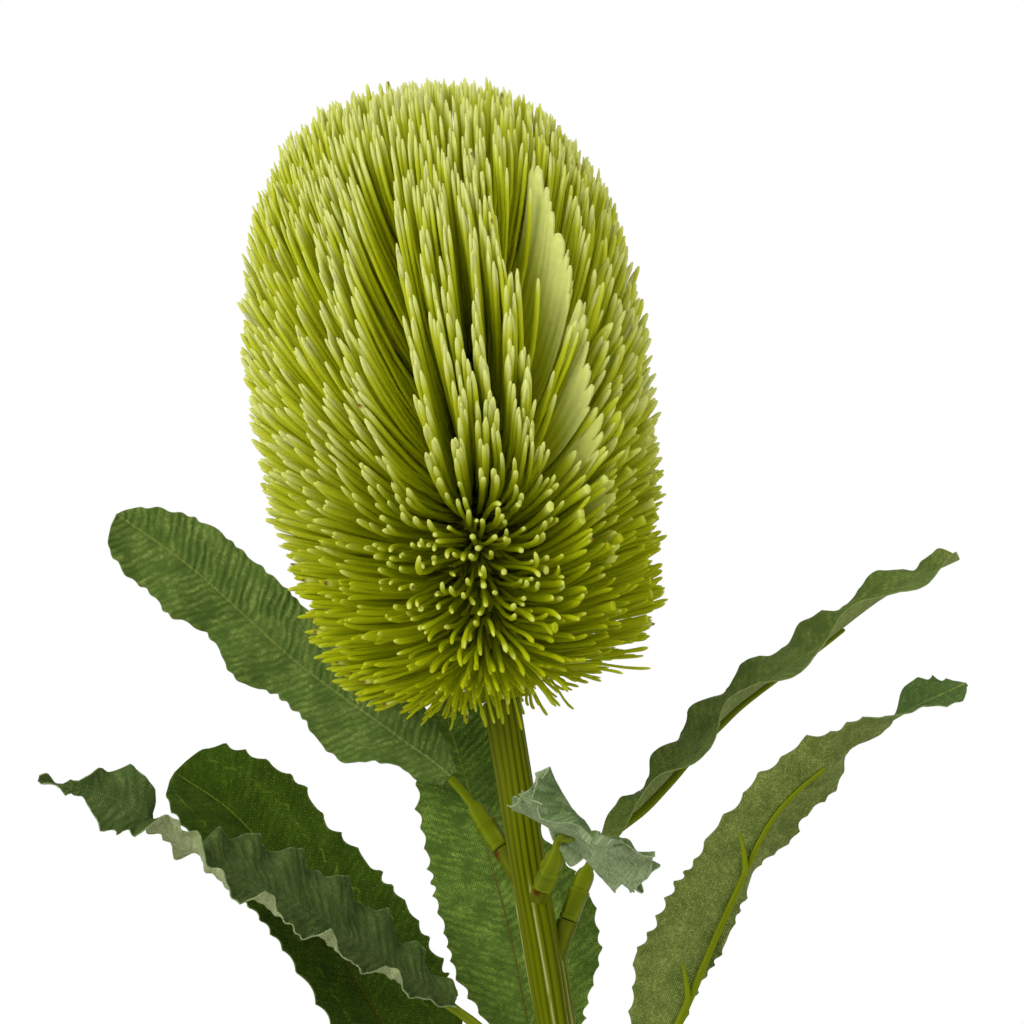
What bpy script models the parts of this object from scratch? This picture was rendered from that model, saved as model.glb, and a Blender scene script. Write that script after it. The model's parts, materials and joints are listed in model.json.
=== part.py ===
"""A banksia flower spray standing in a plain bottle vase.

Metres, +Z up. The origin is the centre of the vase's foot, on the surface it stands on.
The spray leans towards -X: its cut end stands on the vase's inner floor, and its stem
rests against the rim. The flower head is a core that carries rings of moulded bristles,
and each leaf is a fabric blade on a moulded spine, pushed over a peg of the stem.
"""

import math
from dataclasses import dataclass

import bmesh
import bpy
import numpy as np
from mathutils import Matrix, Vector

MM = 0.001
GAP = 0.0003                # clearance between pieces that touch
OVERLAP = 0.004             # how far a joined piece or a cutter runs past a face
CURVE_STEPS = 24            # short steps between two points of a smooth line
ROUTE_STEPS = 400           # short steps along a whole leaf
CREASE_ANGLE = 35.0         # degrees from which an edge is drawn sharp

# Vase
VASE_HEIGHT = 0.200
VASE_SIDES = 48
MOUTH_RADIUS = 0.0125       # inside the neck
NECK_FOOT_Z = 0.166         # where the neck's inside starts to widen
FLOOR_Z = 0.006             # thickness of the vase's bottom
FLOOR_RADIUS = 0.029
WALL = 0.0042
BODY_SAMPLES = 11
LIP_OUTLINE = (             # (radius, height) over the rim, from inside to outside
    (0.0125, 0.1978),
    (0.0133, 0.1994),
    (0.0150, 0.2000),
    (0.0162, 0.2000),
    (0.0180, 0.1982),
    (0.0174, 0.1950),
)
BODY_OUTLINE = (            # (radius, height) down the outside, from neck to foot
    (0.0158, 0.188),
    (0.0160, 0.168),
    (0.0235, 0.149),
    (0.0380, 0.123),
    (0.0475, 0.090),
    (0.0490, 0.062),
    (0.0455, 0.032),
    (0.0395, 0.006),
)
FOOT_OUTLINE = ((0.0383, 0.0010), (0.0375, 0.0), (0.0, 0.0))

# Line of the stem and of the head's core
RIM_X = -0.0083             # where the stem's axis crosses the rim's plane
LEAN = 0.164                # run towards -X for each unit of height
HEAD_Z = 0.349              # where the core starts
STRAIGHTENING = 0.26        # how quickly the core's line turns upright, per metre

# Stem
FLUTES = 14
STEM_FOOT_RADIUS = 0.0038
STEM_TOP_RADIUS = 0.0044
FLUTE_DEPTH = 0.00045
TENON_RADIUS = 0.0030
TENON_LENGTH = 0.012
WIRE_RADIUS = 0.0012
WIRE_LENGTH = 0.300

# Pegs of the stem, and the sleeves of the leaf spines that sit on them
NUB_RADIUS = 0.0024
NECKING = 0.002             # length over which a sleeve narrows to the petiole
SLEEVE_CLEARANCE = 0.0006   # between a sleeve's side and the stem's widest radius
PEG_RADIUS = 0.0012
PEG_LENGTH = 0.006
SOCKET_ROOM = 0.0005        # free depth past a peg's end
SLEEVE_RADIUS = 0.0029
SLEEVE_LENGTH = 0.0110

# Leaf spines and blades
PETIOLE_RADIUS = 0.0013
SPINE_END_RADIUS = 0.0006
BLADE_SEAT = 0.0005         # between the spine and the blade's underside
RIB_SAMPLES = 18            # points along the blade, shared by its spine
BLADE_THICKNESS = 0.0006
BLADE_ROWS = 12
BLADE_COLUMNS = 4

# Head
CORE_RADIUS = 0.0070
CORE_LENGTH = 0.119
CORE_RINGS = 8
HUB_RADIUS = 0.0095
HUB_HEIGHT = 0.0050
WHORLS = 13
WHORL_FIRST = 0.008         # height of the lowest ring above HEAD_Z
WHORL_STEP = 0.0085
BLADES = 16                 # bristle bundles on one ring
BUNDLE_WIDTH = 0.0020
BUNDLE_TIP = 0.0011
CROWN_RADIUS = 0.0070
CROWN_BUNDLES = 8
CROWN_SPREAD = 0.0012       # how far a crown bundle bows outward
BEND_SHARE = 0.5            # share of a bundle's span over which its tip is straight

# Outline of the head: two half superellipses that meet at its widest level
HEAD_RADIUS = 0.0485
HEAD_WAIST = 0.060
HEAD_RISE, RISE_POWER = 0.0875, 2.7
HEAD_DROP, DROP_POWER = 0.0640, 2.3

# Height of a bundle's tip and its slope there, by the height of its root
ROOT_HEIGHTS = (0.008, 0.024, 0.042, 0.057, 0.072, 0.095, 0.112)
TIP_HEIGHTS = (-0.001, 0.024, 0.060, 0.095, 0.120, 0.138, 0.1455)
TIP_SLOPES = (-50.0, 5.0, 40.0, 60.0, 72.0, 82.0, 87.0)   # degrees above level


@dataclass
class Leaf:
    """One leaf: its joint on the stem, its midrib, and how the blade lies about it.

    joint is the height of the joint on the stem's axis. route holds, in millimetres,
    the sleeve's end, the blade's base and the points of the midrib up to the tip. widths
    pairs a share of the blade's length with its half width there in millimetres, and
    sides does so with the direction of the blade's first half. folds are the angles by
    which the first and the second half rise from flat. spined is how far along the blade
    the spine runs.
    """

    name: str
    joint: float
    route: tuple
    widths: tuple
    sides: tuple
    folds: tuple
    spined: float = 0.72


LEAVES = (
    Leaf("upper_left", 0.302,
         ((-37, 8, 320), (-45, 12, 330), (-58, 19, 339.5), (-82.5, 30, 356.8),
          (-109, 34.5, 380.3), (-126, 35, 393.5)),
         ((0, 2.5), (0.08, 6), (0.18, 9), (0.35, 12.3), (0.6, 13), (0.85, 12.3),
          (0.95, 9.5), (1, 4)),
         ((0, (0.55, 0.30, 0.78)),), (0.10, 0.10)),
    Leaf("lower_left", 0.222,
         ((-27, 3, 238), (-42, 4, 252), (-53, 5, 262), (-61, 6, 271.5), (-77, 9.5, 296.5),
          (-96.5, 13.5, 320.5), (-111.5, 16, 331)),
         ((0, 3), (0.12, 14), (0.28, 19), (0.45, 19.5), (0.6, 18.5), (0.78, 16.5),
          (0.91, 10.5), (1, 4)),
         ((0, (0.85, 0.0, 0.50)), (1, (0.72, 0.1, 0.66))), (0.10, 0.95)),
    Leaf("front_left", 0.252,
         ((-36, -7, 271), (-44.5, -9, 277), (-57, -14, 285.5), (-81, -21.5, 302),
          (-103, -27, 313.5), (-121, -31, 326.5), (-140, -33, 331.5)),
         ((0, 2.5), (0.1, 8), (0.25, 13), (0.55, 13.5), (0.72, 10), (0.82, 8.5),
          (0.92, 5), (1, 1.5)),
         ((0, (0.15, 0.88, 0.42)), (0.55, (0.12, 0.90, 0.40)), (0.68, (0.0, 0.95, -0.30)),
          (0.80, (0.40, 0.35, 0.85)), (1, (0.20, 0.90, 0.30))), (0.25, 0.10), 0.5),
    Leaf("back", 0.228,
         ((-17, 10, 247), (-20, 15, 256), (-24, 19, 270.5), (-29.2, 23, 295),
          (-37.7, 29, 324), (-45.5, 35, 349.5)),
         ((0, 2.5), (0.1, 9), (0.3, 18), (0.5, 18.5), (0.75, 16), (0.92, 11), (1, 4)),
         ((0, (0.96, 0.15, 0.20)),), (0.15, 0.15)),
    Leaf("upper_right", 0.283,
         ((-13, 4, 306.5), (-8.5, 5, 314.8), (2, 7, 323.2), (23, 11.5, 345.5),
          (44.5, 14, 361.5), (61.5, 16, 374), (78, 17, 382)),
         ((0, 2.5), (0.12, 7), (0.3, 11), (0.6, 11.5), (0.85, 9.5), (0.95, 7.5), (1, 4)),
         ((0, (0.15, -0.97, 0.10)),), (0.15, 0.45)),
    Leaf("lower_right", 0.230,
         ((-4, -6, 247), (0.2, -8, 254), (9.9, -11, 275), (21.8, -14, 302.6),
          (32.7, -17, 324), (55.9, -20, 342.6), (76, -22, 353.7)),
         ((0, 2.5), (0.1, 9), (0.25, 16), (0.42, 13.5), (0.57, 9.5), (0.75, 8.7),
          (0.88, 7), (0.96, 5), (1, 2.5)),
         ((0, (-0.79, -0.24, 0.52)), (0.70, (-0.70, -0.45, 0.52)),
          (0.86, (-0.20, -0.95, 0.10)), (1, (0.42, -0.53, -0.72))), (0.10, 0.90)),
    Leaf("front", 0.297,
         ((-20.5, -14, 309), (-18.8, -21.5, 314.5), (-15.5, -40, 315.8), (-12.3, -58, 316.8),
          (-8, -95, 320)),
         ((0, 3), (0.12, 13), (0.35, 19), (0.8, 18), (0.94, 13), (1, 5)),
         ((0, (-0.88, 0.0, 0.47)),), (0.12, 0.05)),
)

FINISHES = {                # base colour (linear), roughness, metallic
    "vase_stoneware": ((0.72, 0.68, 0.60), 0.35, 0.0),
    "stem_plastic": ((0.10, 0.13, 0.008), 0.45, 0.0),
    "wire_steel": ((0.35, 0.35, 0.35), 0.45, 1.0),
    "core_plastic": ((0.05, 0.06, 0.004), 0.60, 0.0),
    "bristle_plastic": ((0.33, 0.38, 0.03), 0.50, 0.0),
    "spine_plastic": ((0.16, 0.22, 0.012), 0.45, 0.0),
    "leaf_fabric": ((0.075, 0.13, 0.035), 0.75, 0.0),
}


# Shared helpers

def start_empty():
    """Removes what the scene holds and makes the collections of parts and of cutters."""
    for item in list(bpy.data.objects):
        bpy.data.objects.remove(item, do_unlink=True)
    made = []
    for name in ("banksia_in_vase", "cutters"):
        collection = bpy.data.collections.new(name)
        bpy.context.scene.collection.children.link(collection)
        made.append(collection)
    return made


def finish_named(name):
    """The Principled material with one of the finishes above, made at its first use."""
    material = bpy.data.materials.get(name)
    if material is None:
        colour, roughness, metallic = FINISHES[name]
        material = bpy.data.materials.new(name)
        material.use_nodes = True
        shader = material.node_tree.nodes["Principled BSDF"]
        shader.inputs["Base Color"].default_value = (*colour, 1.0)
        shader.inputs["Roughness"].default_value = roughness
        shader.inputs["Metallic"].default_value = metallic
    return material


def add_object(name, bm, finish=None, matrix=None):
    """Turns a bmesh into an object: a part, or a cutter where it has no finish."""
    mesh = bpy.data.meshes.new(name)
    bm.to_mesh(mesh)
    bm.free()
    item = bpy.data.objects.new(name, mesh)
    if matrix is not None:
        item.matrix_world = matrix
    if finish:
        mesh.materials.append(finish_named(finish))
        mesh.shade_smooth()
        mesh.set_sharp_from_angle(angle=math.radians(CREASE_ANGLE))
        PARTS.objects.link(item)
    else:
        item.hide_render = True
        item.display_type = "WIRE"
        CUTTERS.objects.link(item)
    return item


def cylinder(radius, length, sides=12, end_radius=None):
    """A closed cylinder or cone from the origin up to length."""
    bm = bmesh.new()
    bmesh.ops.create_cone(
        bm, cap_ends=True, segments=sides, radius1=radius,
        radius2=radius if end_radius is None else end_radius, depth=length,
        matrix=Matrix.Translation((0, 0, length / 2)))
    return bm


def cut_or_join(item, other, operation):
    """Adds an exact Boolean of item with other."""
    boolean = item.modifiers.new(f"{operation.lower()}_{other.name}", "BOOLEAN")
    boolean.operation = operation
    boolean.solver = "EXACT"
    boolean.object = other


def frame_at(point, direction):
    """The matrix that takes +Z to direction and the origin to point."""
    turn = Vector(direction).to_track_quat("Z", "Y").to_matrix().to_4x4()
    return Matrix.Translation(point) @ turn


def evenly(points, count):
    """Evenly spaced points along a line of many short steps."""
    run = np.concatenate([[0], np.cumsum(np.linalg.norm(np.diff(points, axis=0), axis=1))])
    wanted = np.linspace(0, run[-1], count)
    return np.stack([np.interp(wanted, run, column) for column in points.T], axis=1)


def smooth_line(points, count):
    """Evenly spaced points on a centripetal Catmull-Rom curve through points."""
    knots = np.array([tuple(p) for p in points], float)
    before = 2 * knots[0] - knots[1]
    after = 2 * knots[-1] - knots[-2]
    knots = np.vstack([before, knots, after])
    places = np.concatenate([[0], np.cumsum(np.linalg.norm(np.diff(knots, axis=0), axis=1) ** 0.5)])
    fine = []
    for i in range(1, len(knots) - 2):
        t0, t1, t2, t3 = places[i - 1:i + 3]
        for t in np.linspace(t1, t2, CURVE_STEPS, endpoint=i == len(knots) - 3):
            a1 = ((t1 - t) * knots[i - 1] + (t - t0) * knots[i]) / (t1 - t0)
            a2 = ((t2 - t) * knots[i] + (t - t1) * knots[i + 1]) / (t2 - t1)
            a3 = ((t3 - t) * knots[i + 1] + (t - t2) * knots[i + 2]) / (t3 - t2)
            b1 = ((t2 - t) * a1 + (t - t0) * a2) / (t2 - t0)
            b2 = ((t3 - t) * a2 + (t - t1) * a3) / (t3 - t1)
            fine.append(((t2 - t) * b1 + (t - t1) * b2) / (t2 - t1))
    return evenly(np.array(fine), count)


# Line of the stem and of the core

def axis_point(z):
    """The point of the stem's or the core's axis at height z."""
    over = max(0.0, z - HEAD_Z)
    return Vector((RIM_X - LEAN * (z - VASE_HEIGHT) + STRAIGHTENING * over ** 2, 0, z))


def axis_frame(z):
    """The frame on the axis at height z, with +Z along it."""
    over = max(0.0, z - HEAD_Z)
    return frame_at(axis_point(z), (-LEAN + 2 * STRAIGHTENING * over, 0, 1))


# Vase

def vase_profile():
    """The vase's section, from the inner floor's centre over the rim to the foot."""
    outside = smooth_line(BODY_OUTLINE, BODY_SAMPLES)
    steps = np.gradient(outside, axis=0)
    inward = np.stack([steps[:, 1], -steps[:, 0]], axis=1)
    inward /= np.linalg.norm(inward, axis=1)[:, None]
    inside = outside + inward * WALL
    inside = [tuple(p) for p in inside if p[0] > MOUTH_RADIUS and p[1] > 2 * FLOOR_Z]
    section = [(0, FLOOR_Z), (FLOOR_RADIUS, FLOOR_Z)]
    section += reversed(inside)
    section += [(MOUTH_RADIUS, NECK_FOOT_Z), *LIP_OUTLINE]
    section += [tuple(p) for p in outside]
    section += FOOT_OUTLINE
    return section


def build_vase():
    """The vase, turned from its section."""
    bm = bmesh.new()
    corners = [bm.verts.new((radius, 0, height)) for radius, height in vase_profile()]
    for first, second in zip(corners, corners[1:]):
        bm.edges.new((first, second))
    vase = add_object("vase", bm, "vase_stoneware")
    screw = vase.modifiers.new("turned", "SCREW")
    screw.steps = VASE_SIDES
    screw.render_steps = VASE_SIDES
    screw.use_merge_vertices = True
    screw.merge_threshold = 0.00005
    screw.use_smooth_shade = True


# Stem and its wire

def stem_start():
    """The centre of the stem's cut end, just clear of the vase's floor."""
    tilt = LEAN / math.hypot(1, LEAN)
    return FLOOR_Z + GAP + tilt * STEM_FOOT_RADIUS


def joint_frame(leaf):
    """The frame of a leaf's peg: on the stem's axis, +Z towards the sleeve's end."""
    root = axis_point(leaf.joint)
    end = Vector(leaf.route[0]) * MM
    return frame_at(root, end - root)


def nub_reach(leaf):
    """How far a nub runs from the stem's axis before its sleeve clears the stem."""
    outward = joint_frame(leaf).to_3x3().col[2]
    slant = outward.angle(Vector((-LEAN, 0, 1)))
    room = STEM_TOP_RADIUS + SLEEVE_RADIUS * math.cos(slant) + SLEEVE_CLEARANCE
    return room / math.sin(slant)


def build_stem():
    """The fluted stem with its tenon and one nub and peg for each leaf."""
    foot = stem_start()
    length = (HEAD_Z - foot) * math.hypot(1, LEAN)
    bm = cylinder(STEM_FOOT_RADIUS, length, 2 * FLUTES, STEM_TOP_RADIUS)
    for vert in bm.verts:
        turn = math.atan2(vert.co.y, vert.co.x) * FLUTES / math.pi
        if round(turn) % 2:
            radius = math.hypot(vert.co.x, vert.co.y)
            vert.co.xy *= (radius - FLUTE_DEPTH) / radius
    stem = add_object("stem", bm, "stem_plastic", frame_at(axis_point(foot), (-LEAN, 0, 1)))
    tenon = add_object("tenon", cylinder(TENON_RADIUS, TENON_LENGTH + OVERLAP, 16), None,
                       axis_frame(HEAD_Z - OVERLAP))
    cut_or_join(stem, tenon, "UNION")
    for leaf in LEAVES:
        frame = joint_frame(leaf)
        reach = nub_reach(leaf)
        nub = add_object(f"nub_{leaf.name}", cylinder(NUB_RADIUS, reach, 10), None, frame)
        peg = add_object(f"peg_{leaf.name}", cylinder(PEG_RADIUS, reach + PEG_LENGTH, 8),
                         None, frame)
        cut_or_join(stem, nub, "UNION")
        cut_or_join(stem, peg, "UNION")
    bore_length = WIRE_LENGTH + OVERLAP + GAP
    bore = add_object("wire_bore", cylinder(WIRE_RADIUS + GAP, bore_length, 12), None,
                      frame_at(axis_point(foot - OVERLAP), (-LEAN, 0, 1)))
    cut_or_join(stem, bore, "DIFFERENCE")


def build_wire():
    """The steel wire that stiffens the stem, flush with its cut end."""
    add_object("stem_wire", cylinder(WIRE_RADIUS, WIRE_LENGTH, 10), "wire_steel",
               frame_at(axis_point(stem_start()), (-LEAN, 0, 1)))


# Leaves

def leaf_line(leaf, count):
    """Points of the blade's midrib, from its base to its tip, and their tangents."""
    whole = smooth_line(np.array(leaf.route, float) * MM, ROUTE_STEPS)
    base = np.array(leaf.route[1]) * MM
    start = int(np.argmin(np.linalg.norm(whole - base, axis=1)))
    line = evenly(whole[start:], count)
    tangents = np.gradient(line, axis=0)
    return line, tangents / np.linalg.norm(tangents, axis=1)[:, None]


def leaf_frames(leaf, count):
    """Midrib points with the blade's sideways and upward directions at each."""
    line, tangents = leaf_line(leaf, count)
    shares = np.linspace(0, 1, count)
    stations = [share for share, _ in leaf.sides]
    chosen = np.array([side for _, side in leaf.sides], float)
    side = np.stack([np.interp(shares, stations, chosen[:, k]) for k in range(3)], axis=1)
    side -= (side * tangents).sum(axis=1)[:, None] * tangents
    side /= np.linalg.norm(side, axis=1)[:, None]
    return line, side, np.cross(side, tangents)


def half_width(leaf, share):
    """The blade's half width at a share of its length."""
    return MM * np.interp(share, *zip(*leaf.widths))


def spine_radius(leaf, share):
    """The spine's radius at a share of the blade's length."""
    return PETIOLE_RADIUS + (SPINE_END_RADIUS - PETIOLE_RADIUS) * min(1.0, share / leaf.spined)


def build_blade(leaf):
    """The leaf's fabric blade, folded along its midrib and laid just above the spine."""
    bm = bmesh.new()
    bmesh.ops.create_grid(bm, x_segments=BLADE_COLUMNS, y_segments=BLADE_ROWS, size=1.0)
    line, side, up = leaf_frames(leaf, BLADE_ROWS + 1)
    for vert in bm.verts:
        across = -vert.co.x
        share = (vert.co.y + 1) / 2
        row = round(share * BLADE_ROWS)
        reach = abs(across) * half_width(leaf, share)
        fold = leaf.folds[0] if across > 0 else leaf.folds[1]
        lift = spine_radius(leaf, share) + BLADE_SEAT + BLADE_THICKNESS / 2
        sideways = math.copysign(reach * math.cos(fold), across)
        vert.co = line[row] + side[row] * sideways + up[row] * (lift + reach * math.sin(fold))
    blade = add_object(f"leaf_{leaf.name}_blade", bm, "leaf_fabric")
    solid = blade.modifiers.new("thickness", "SOLIDIFY")
    solid.thickness = BLADE_THICKNESS
    solid.offset = 0.0


def build_spine(leaf):
    """The leaf's moulded spine: a bored sleeve, the petiole and the rib below the blade."""
    joint = joint_frame(leaf)
    reach = nub_reach(leaf)
    shoulder = joint @ Vector((0, 0, reach + GAP))
    collar = joint @ Vector((0, 0, reach + SLEEVE_LENGTH))
    neck = joint @ Vector((0, 0, reach + SLEEVE_LENGTH + NECKING))
    line, _ = leaf_line(leaf, RIB_SAMPLES)
    rib = line[:round(leaf.spined * RIB_SAMPLES)]
    points = [(shoulder, SLEEVE_RADIUS), (collar, SLEEVE_RADIUS), (neck, PETIOLE_RADIUS)]
    points += [(Vector(p), spine_radius(leaf, i / RIB_SAMPLES)) for i, p in enumerate(rib)]
    curve = bpy.data.curves.new("spine", "CURVE")
    curve.dimensions = "3D"
    curve.bevel_depth = 1.0
    curve.bevel_resolution = 2
    curve.use_fill_caps = True
    spline = curve.splines.new("POLY")
    spline.points.add(len(points) - 1)
    for target, (place, radius) in zip(spline.points, points):
        target.co = (*place, 1)
        target.radius = radius
    guide = bpy.data.objects.new("spine", curve)
    PARTS.objects.link(guide)
    graph = bpy.context.evaluated_depsgraph_get()
    mesh = bpy.data.meshes.new_from_object(guide.evaluated_get(graph))
    bpy.data.objects.remove(guide)
    bm = bmesh.new()
    bm.from_mesh(mesh)
    bpy.data.meshes.remove(mesh)
    bmesh.ops.remove_doubles(bm, verts=bm.verts, dist=0.00001)
    spine = add_object(f"leaf_{leaf.name}_spine", bm, "spine_plastic")
    depth = OVERLAP + PEG_LENGTH + SOCKET_ROOM
    bore = add_object(f"bore_{leaf.name}", cylinder(PEG_RADIUS + GAP, depth, 10),
                      None, joint @ Matrix.Translation((0, 0, reach - OVERLAP)))
    cut_or_join(spine, bore, "DIFFERENCE")


# Head

def head_radius(height):
    """The head's radius at a height above HEAD_Z."""
    over = height - HEAD_WAIST
    reach, power = (HEAD_RISE, RISE_POWER) if over > 0 else (HEAD_DROP, DROP_POWER)
    return HEAD_RADIUS * max(0.0, 1 - abs(over / reach) ** power) ** (1 / power)


def bundle_path(root):
    """Root, middle and tip of a bundle as (radius, height above its root) pairs."""
    tip = np.interp(root, ROOT_HEIGHTS, TIP_HEIGHTS)
    slope = math.radians(np.interp(root, ROOT_HEIGHTS, TIP_SLOPES))
    start = Vector((HUB_RADIUS, 0))
    end = Vector((head_radius(tip), tip - root))
    pull = BEND_SHARE * (end - start).length
    bend = end - pull * Vector((math.cos(slope), math.sin(slope)))
    middle = 0.25 * start + 0.5 * bend + 0.25 * end
    return start, middle, end


def move_end(face, before, turn, place, run, width):
    """Puts an extruded end face square across the direction run at place.

    before is the direction that was upward across the bundle at its last station. The
    direction that is upward at this one is returned.
    """
    outward = Vector((math.cos(turn), math.sin(turn), 0))
    around = Vector((-math.sin(turn), math.cos(turn), 0))
    along = (outward * run.x + Vector((0, 0, run.y))).normalized()
    upward = along.cross(around)
    centre = face.calc_center_median()
    target = outward * place.x + Vector((0, 0, place.y))
    for vert in face.verts:
        offset = vert.co - centre
        sideways = math.copysign(width / 2, offset.dot(around))
        lifted = math.copysign(width / 2, offset.dot(before))
        vert.co = target + around * sideways + upward * lifted
    return upward


def side_faces(bm):
    """The upright faces of a cylinder, in order round it, with their angles."""
    found = []
    for face in bm.faces:
        if abs(face.normal.z) < 0.1:
            centre = face.calc_center_median()
            found.append((math.atan2(centre.y, centre.x), face))
    return sorted(found, key=lambda pair: pair[0])


def grow_bundle(bm, face, turn, path):
    """Extrudes one side face of a ring along a bundle's path."""
    start, middle, end = path
    upward = Vector((0, 0, 1))
    for place, run, width in ((middle, end - start, BUNDLE_WIDTH), (end, end - middle, BUNDLE_TIP)):
        face = bmesh.ops.extrude_discrete_faces(bm, faces=[face])["faces"][0]
        upward = move_end(face, upward, turn, place, run, width)


def build_whorl(index):
    """One ring of bristle bundles, bored to slide over the core."""
    root = WHORL_FIRST + index * WHORL_STEP
    bm = bmesh.new()
    half_step = Matrix.Rotation((index % 2) * math.pi / BLADES, 4, "Z")
    bmesh.ops.create_cone(bm, cap_ends=True, segments=2 * BLADES, radius1=HUB_RADIUS,
                          radius2=HUB_RADIUS, depth=HUB_HEIGHT, matrix=half_step)
    for turn, face in side_faces(bm)[::2]:
        grow_bundle(bm, face, turn, bundle_path(root))
    frame = axis_frame(HEAD_Z + root)
    whorl = add_object(f"bristle_whorl_{index + 1:02d}", bm, "bristle_plastic", frame)
    bore = add_object(f"whorl_bore_{index + 1:02d}", cylinder(CORE_RADIUS + GAP, 2 * HUB_HEIGHT, 24),
                      None, frame @ Matrix.Translation((0, 0, -HUB_HEIGHT)))
    cut_or_join(whorl, bore, "DIFFERENCE")


def build_crown():
    """The tuft that closes the head's top, seated on the core's upper end."""
    root = CORE_LENGTH + HUB_HEIGHT / 2 + GAP
    bm = bmesh.new()
    bmesh.ops.create_cone(bm, cap_ends=True, segments=2 * CROWN_BUNDLES, radius1=CROWN_RADIUS,
                          radius2=CROWN_RADIUS, depth=HUB_HEIGHT)
    rise = HEAD_WAIST + HEAD_RISE - root
    start = Vector((CROWN_RADIUS, 0))
    middle = Vector((CROWN_RADIUS + CROWN_SPREAD, rise / 2))
    end = Vector((CROWN_RADIUS + CROWN_SPREAD / 2, rise))
    for turn, face in side_faces(bm)[::2]:
        grow_bundle(bm, face, turn, (start, middle, end))
    add_object("crown_tuft", bm, "bristle_plastic", axis_frame(HEAD_Z + root))


def build_core():
    """The head's core, bent along the axis and bored for the stem's tenon."""
    heights = np.linspace(GAP, CORE_LENGTH, CORE_RINGS)
    bm = cylinder(CORE_RADIUS, heights[1] - heights[0], 24)
    bm.transform(axis_frame(HEAD_Z + heights[0]))
    end = max(bm.faces, key=lambda face: face.calc_center_median().z)
    for lower, upper in zip(heights[1:], heights[2:]):
        step = axis_frame(HEAD_Z + upper) @ axis_frame(HEAD_Z + lower).inverted()
        end = bmesh.ops.extrude_discrete_faces(bm, faces=[end])["faces"][0]
        bmesh.ops.transform(bm, matrix=step, verts=end.verts)
    core = add_object("head_core", bm, "core_plastic")
    depth = OVERLAP + TENON_LENGTH + SOCKET_ROOM
    socket = add_object("core_socket", cylinder(TENON_RADIUS + GAP, depth, 16), None,
                        axis_frame(HEAD_Z - OVERLAP))
    cut_or_join(core, socket, "DIFFERENCE")


PARTS, CUTTERS = start_empty()
build_vase()
build_stem()
build_wire()
build_core()
for number in range(WHORLS):
    build_whorl(number)
build_crown()
for each_leaf in LEAVES:
    build_spine(each_leaf)
    build_blade(each_leaf)
bpy.context.view_layer.update()
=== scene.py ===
"""A banksia flower spray that stands in a plain stoneware bottle vase.

The head is a core with rings of moulded bristles, the stem is a fluted plastic rod on a
steel wire, and each leaf is a woven fabric blade, printed and cut with teeth, that is
glued to a moulded spine. Lengths are metres, unless a name or a docstring says
millimetres, and +Z is up from the surface that the vase stands on.
"""

import json
import logging
import math
from dataclasses import dataclass, field
from enum import Enum
from typing import Optional, Sequence

import bpy
import numpy as np
from mathutils import Matrix, Vector

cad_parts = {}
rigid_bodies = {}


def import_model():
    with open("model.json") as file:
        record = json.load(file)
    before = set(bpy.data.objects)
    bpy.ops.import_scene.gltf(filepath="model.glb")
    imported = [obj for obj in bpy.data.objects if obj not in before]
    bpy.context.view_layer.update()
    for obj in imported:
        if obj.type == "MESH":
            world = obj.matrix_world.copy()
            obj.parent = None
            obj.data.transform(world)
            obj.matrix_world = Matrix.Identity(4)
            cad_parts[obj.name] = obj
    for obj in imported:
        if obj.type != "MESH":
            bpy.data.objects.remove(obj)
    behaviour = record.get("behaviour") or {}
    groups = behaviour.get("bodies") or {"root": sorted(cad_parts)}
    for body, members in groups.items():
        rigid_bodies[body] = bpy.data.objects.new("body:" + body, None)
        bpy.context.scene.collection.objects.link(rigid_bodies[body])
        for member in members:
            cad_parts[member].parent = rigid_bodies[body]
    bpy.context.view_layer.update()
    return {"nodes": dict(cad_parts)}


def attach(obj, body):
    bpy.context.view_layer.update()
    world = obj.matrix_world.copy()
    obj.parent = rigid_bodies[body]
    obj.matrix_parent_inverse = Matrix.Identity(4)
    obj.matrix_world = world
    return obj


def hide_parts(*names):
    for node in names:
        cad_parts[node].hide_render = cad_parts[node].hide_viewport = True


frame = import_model()

LOG = logging.getLogger("banksia")
MM = 0.001
BODY = "root"

Array = np.ndarray
Piece = bpy.types.Object
Material = bpy.types.Material
Node = bpy.types.Node
Socket = bpy.types.NodeSocket
Pair = tuple[float, float]
Triple = tuple[float, float, float]
Colour = tuple[float, float, float, float]


# Tools of the bench ---------------------------------------------------------------

def clear_selection() -> None:
    """Leaves nothing selected and nothing active."""
    for item in bpy.context.view_layer.objects:
        item.select_set(False)
    bpy.context.view_layer.objects.active = None


def select_only(piece: Piece) -> None:
    """Selects one piece and makes it active.

    Args:
        piece: The piece to select.
    """
    clear_selection()
    piece.select_set(True)
    bpy.context.view_layer.objects.active = piece


def apply_all(piece: Piece) -> None:
    """Applies each modifier of a piece, in order.

    Args:
        piece: The piece to work on.
    """
    select_only(piece)
    for modifier in list(piece.modifiers):
        bpy.ops.object.modifier_apply(modifier=modifier.name)


def smooth_by_angle(piece: Piece, degrees: float) -> None:
    """Shades a piece smooth, with edges sharper than the angle kept."""
    select_only(piece)
    bpy.ops.object.shade_smooth_by_angle(angle=math.radians(degrees))


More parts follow.
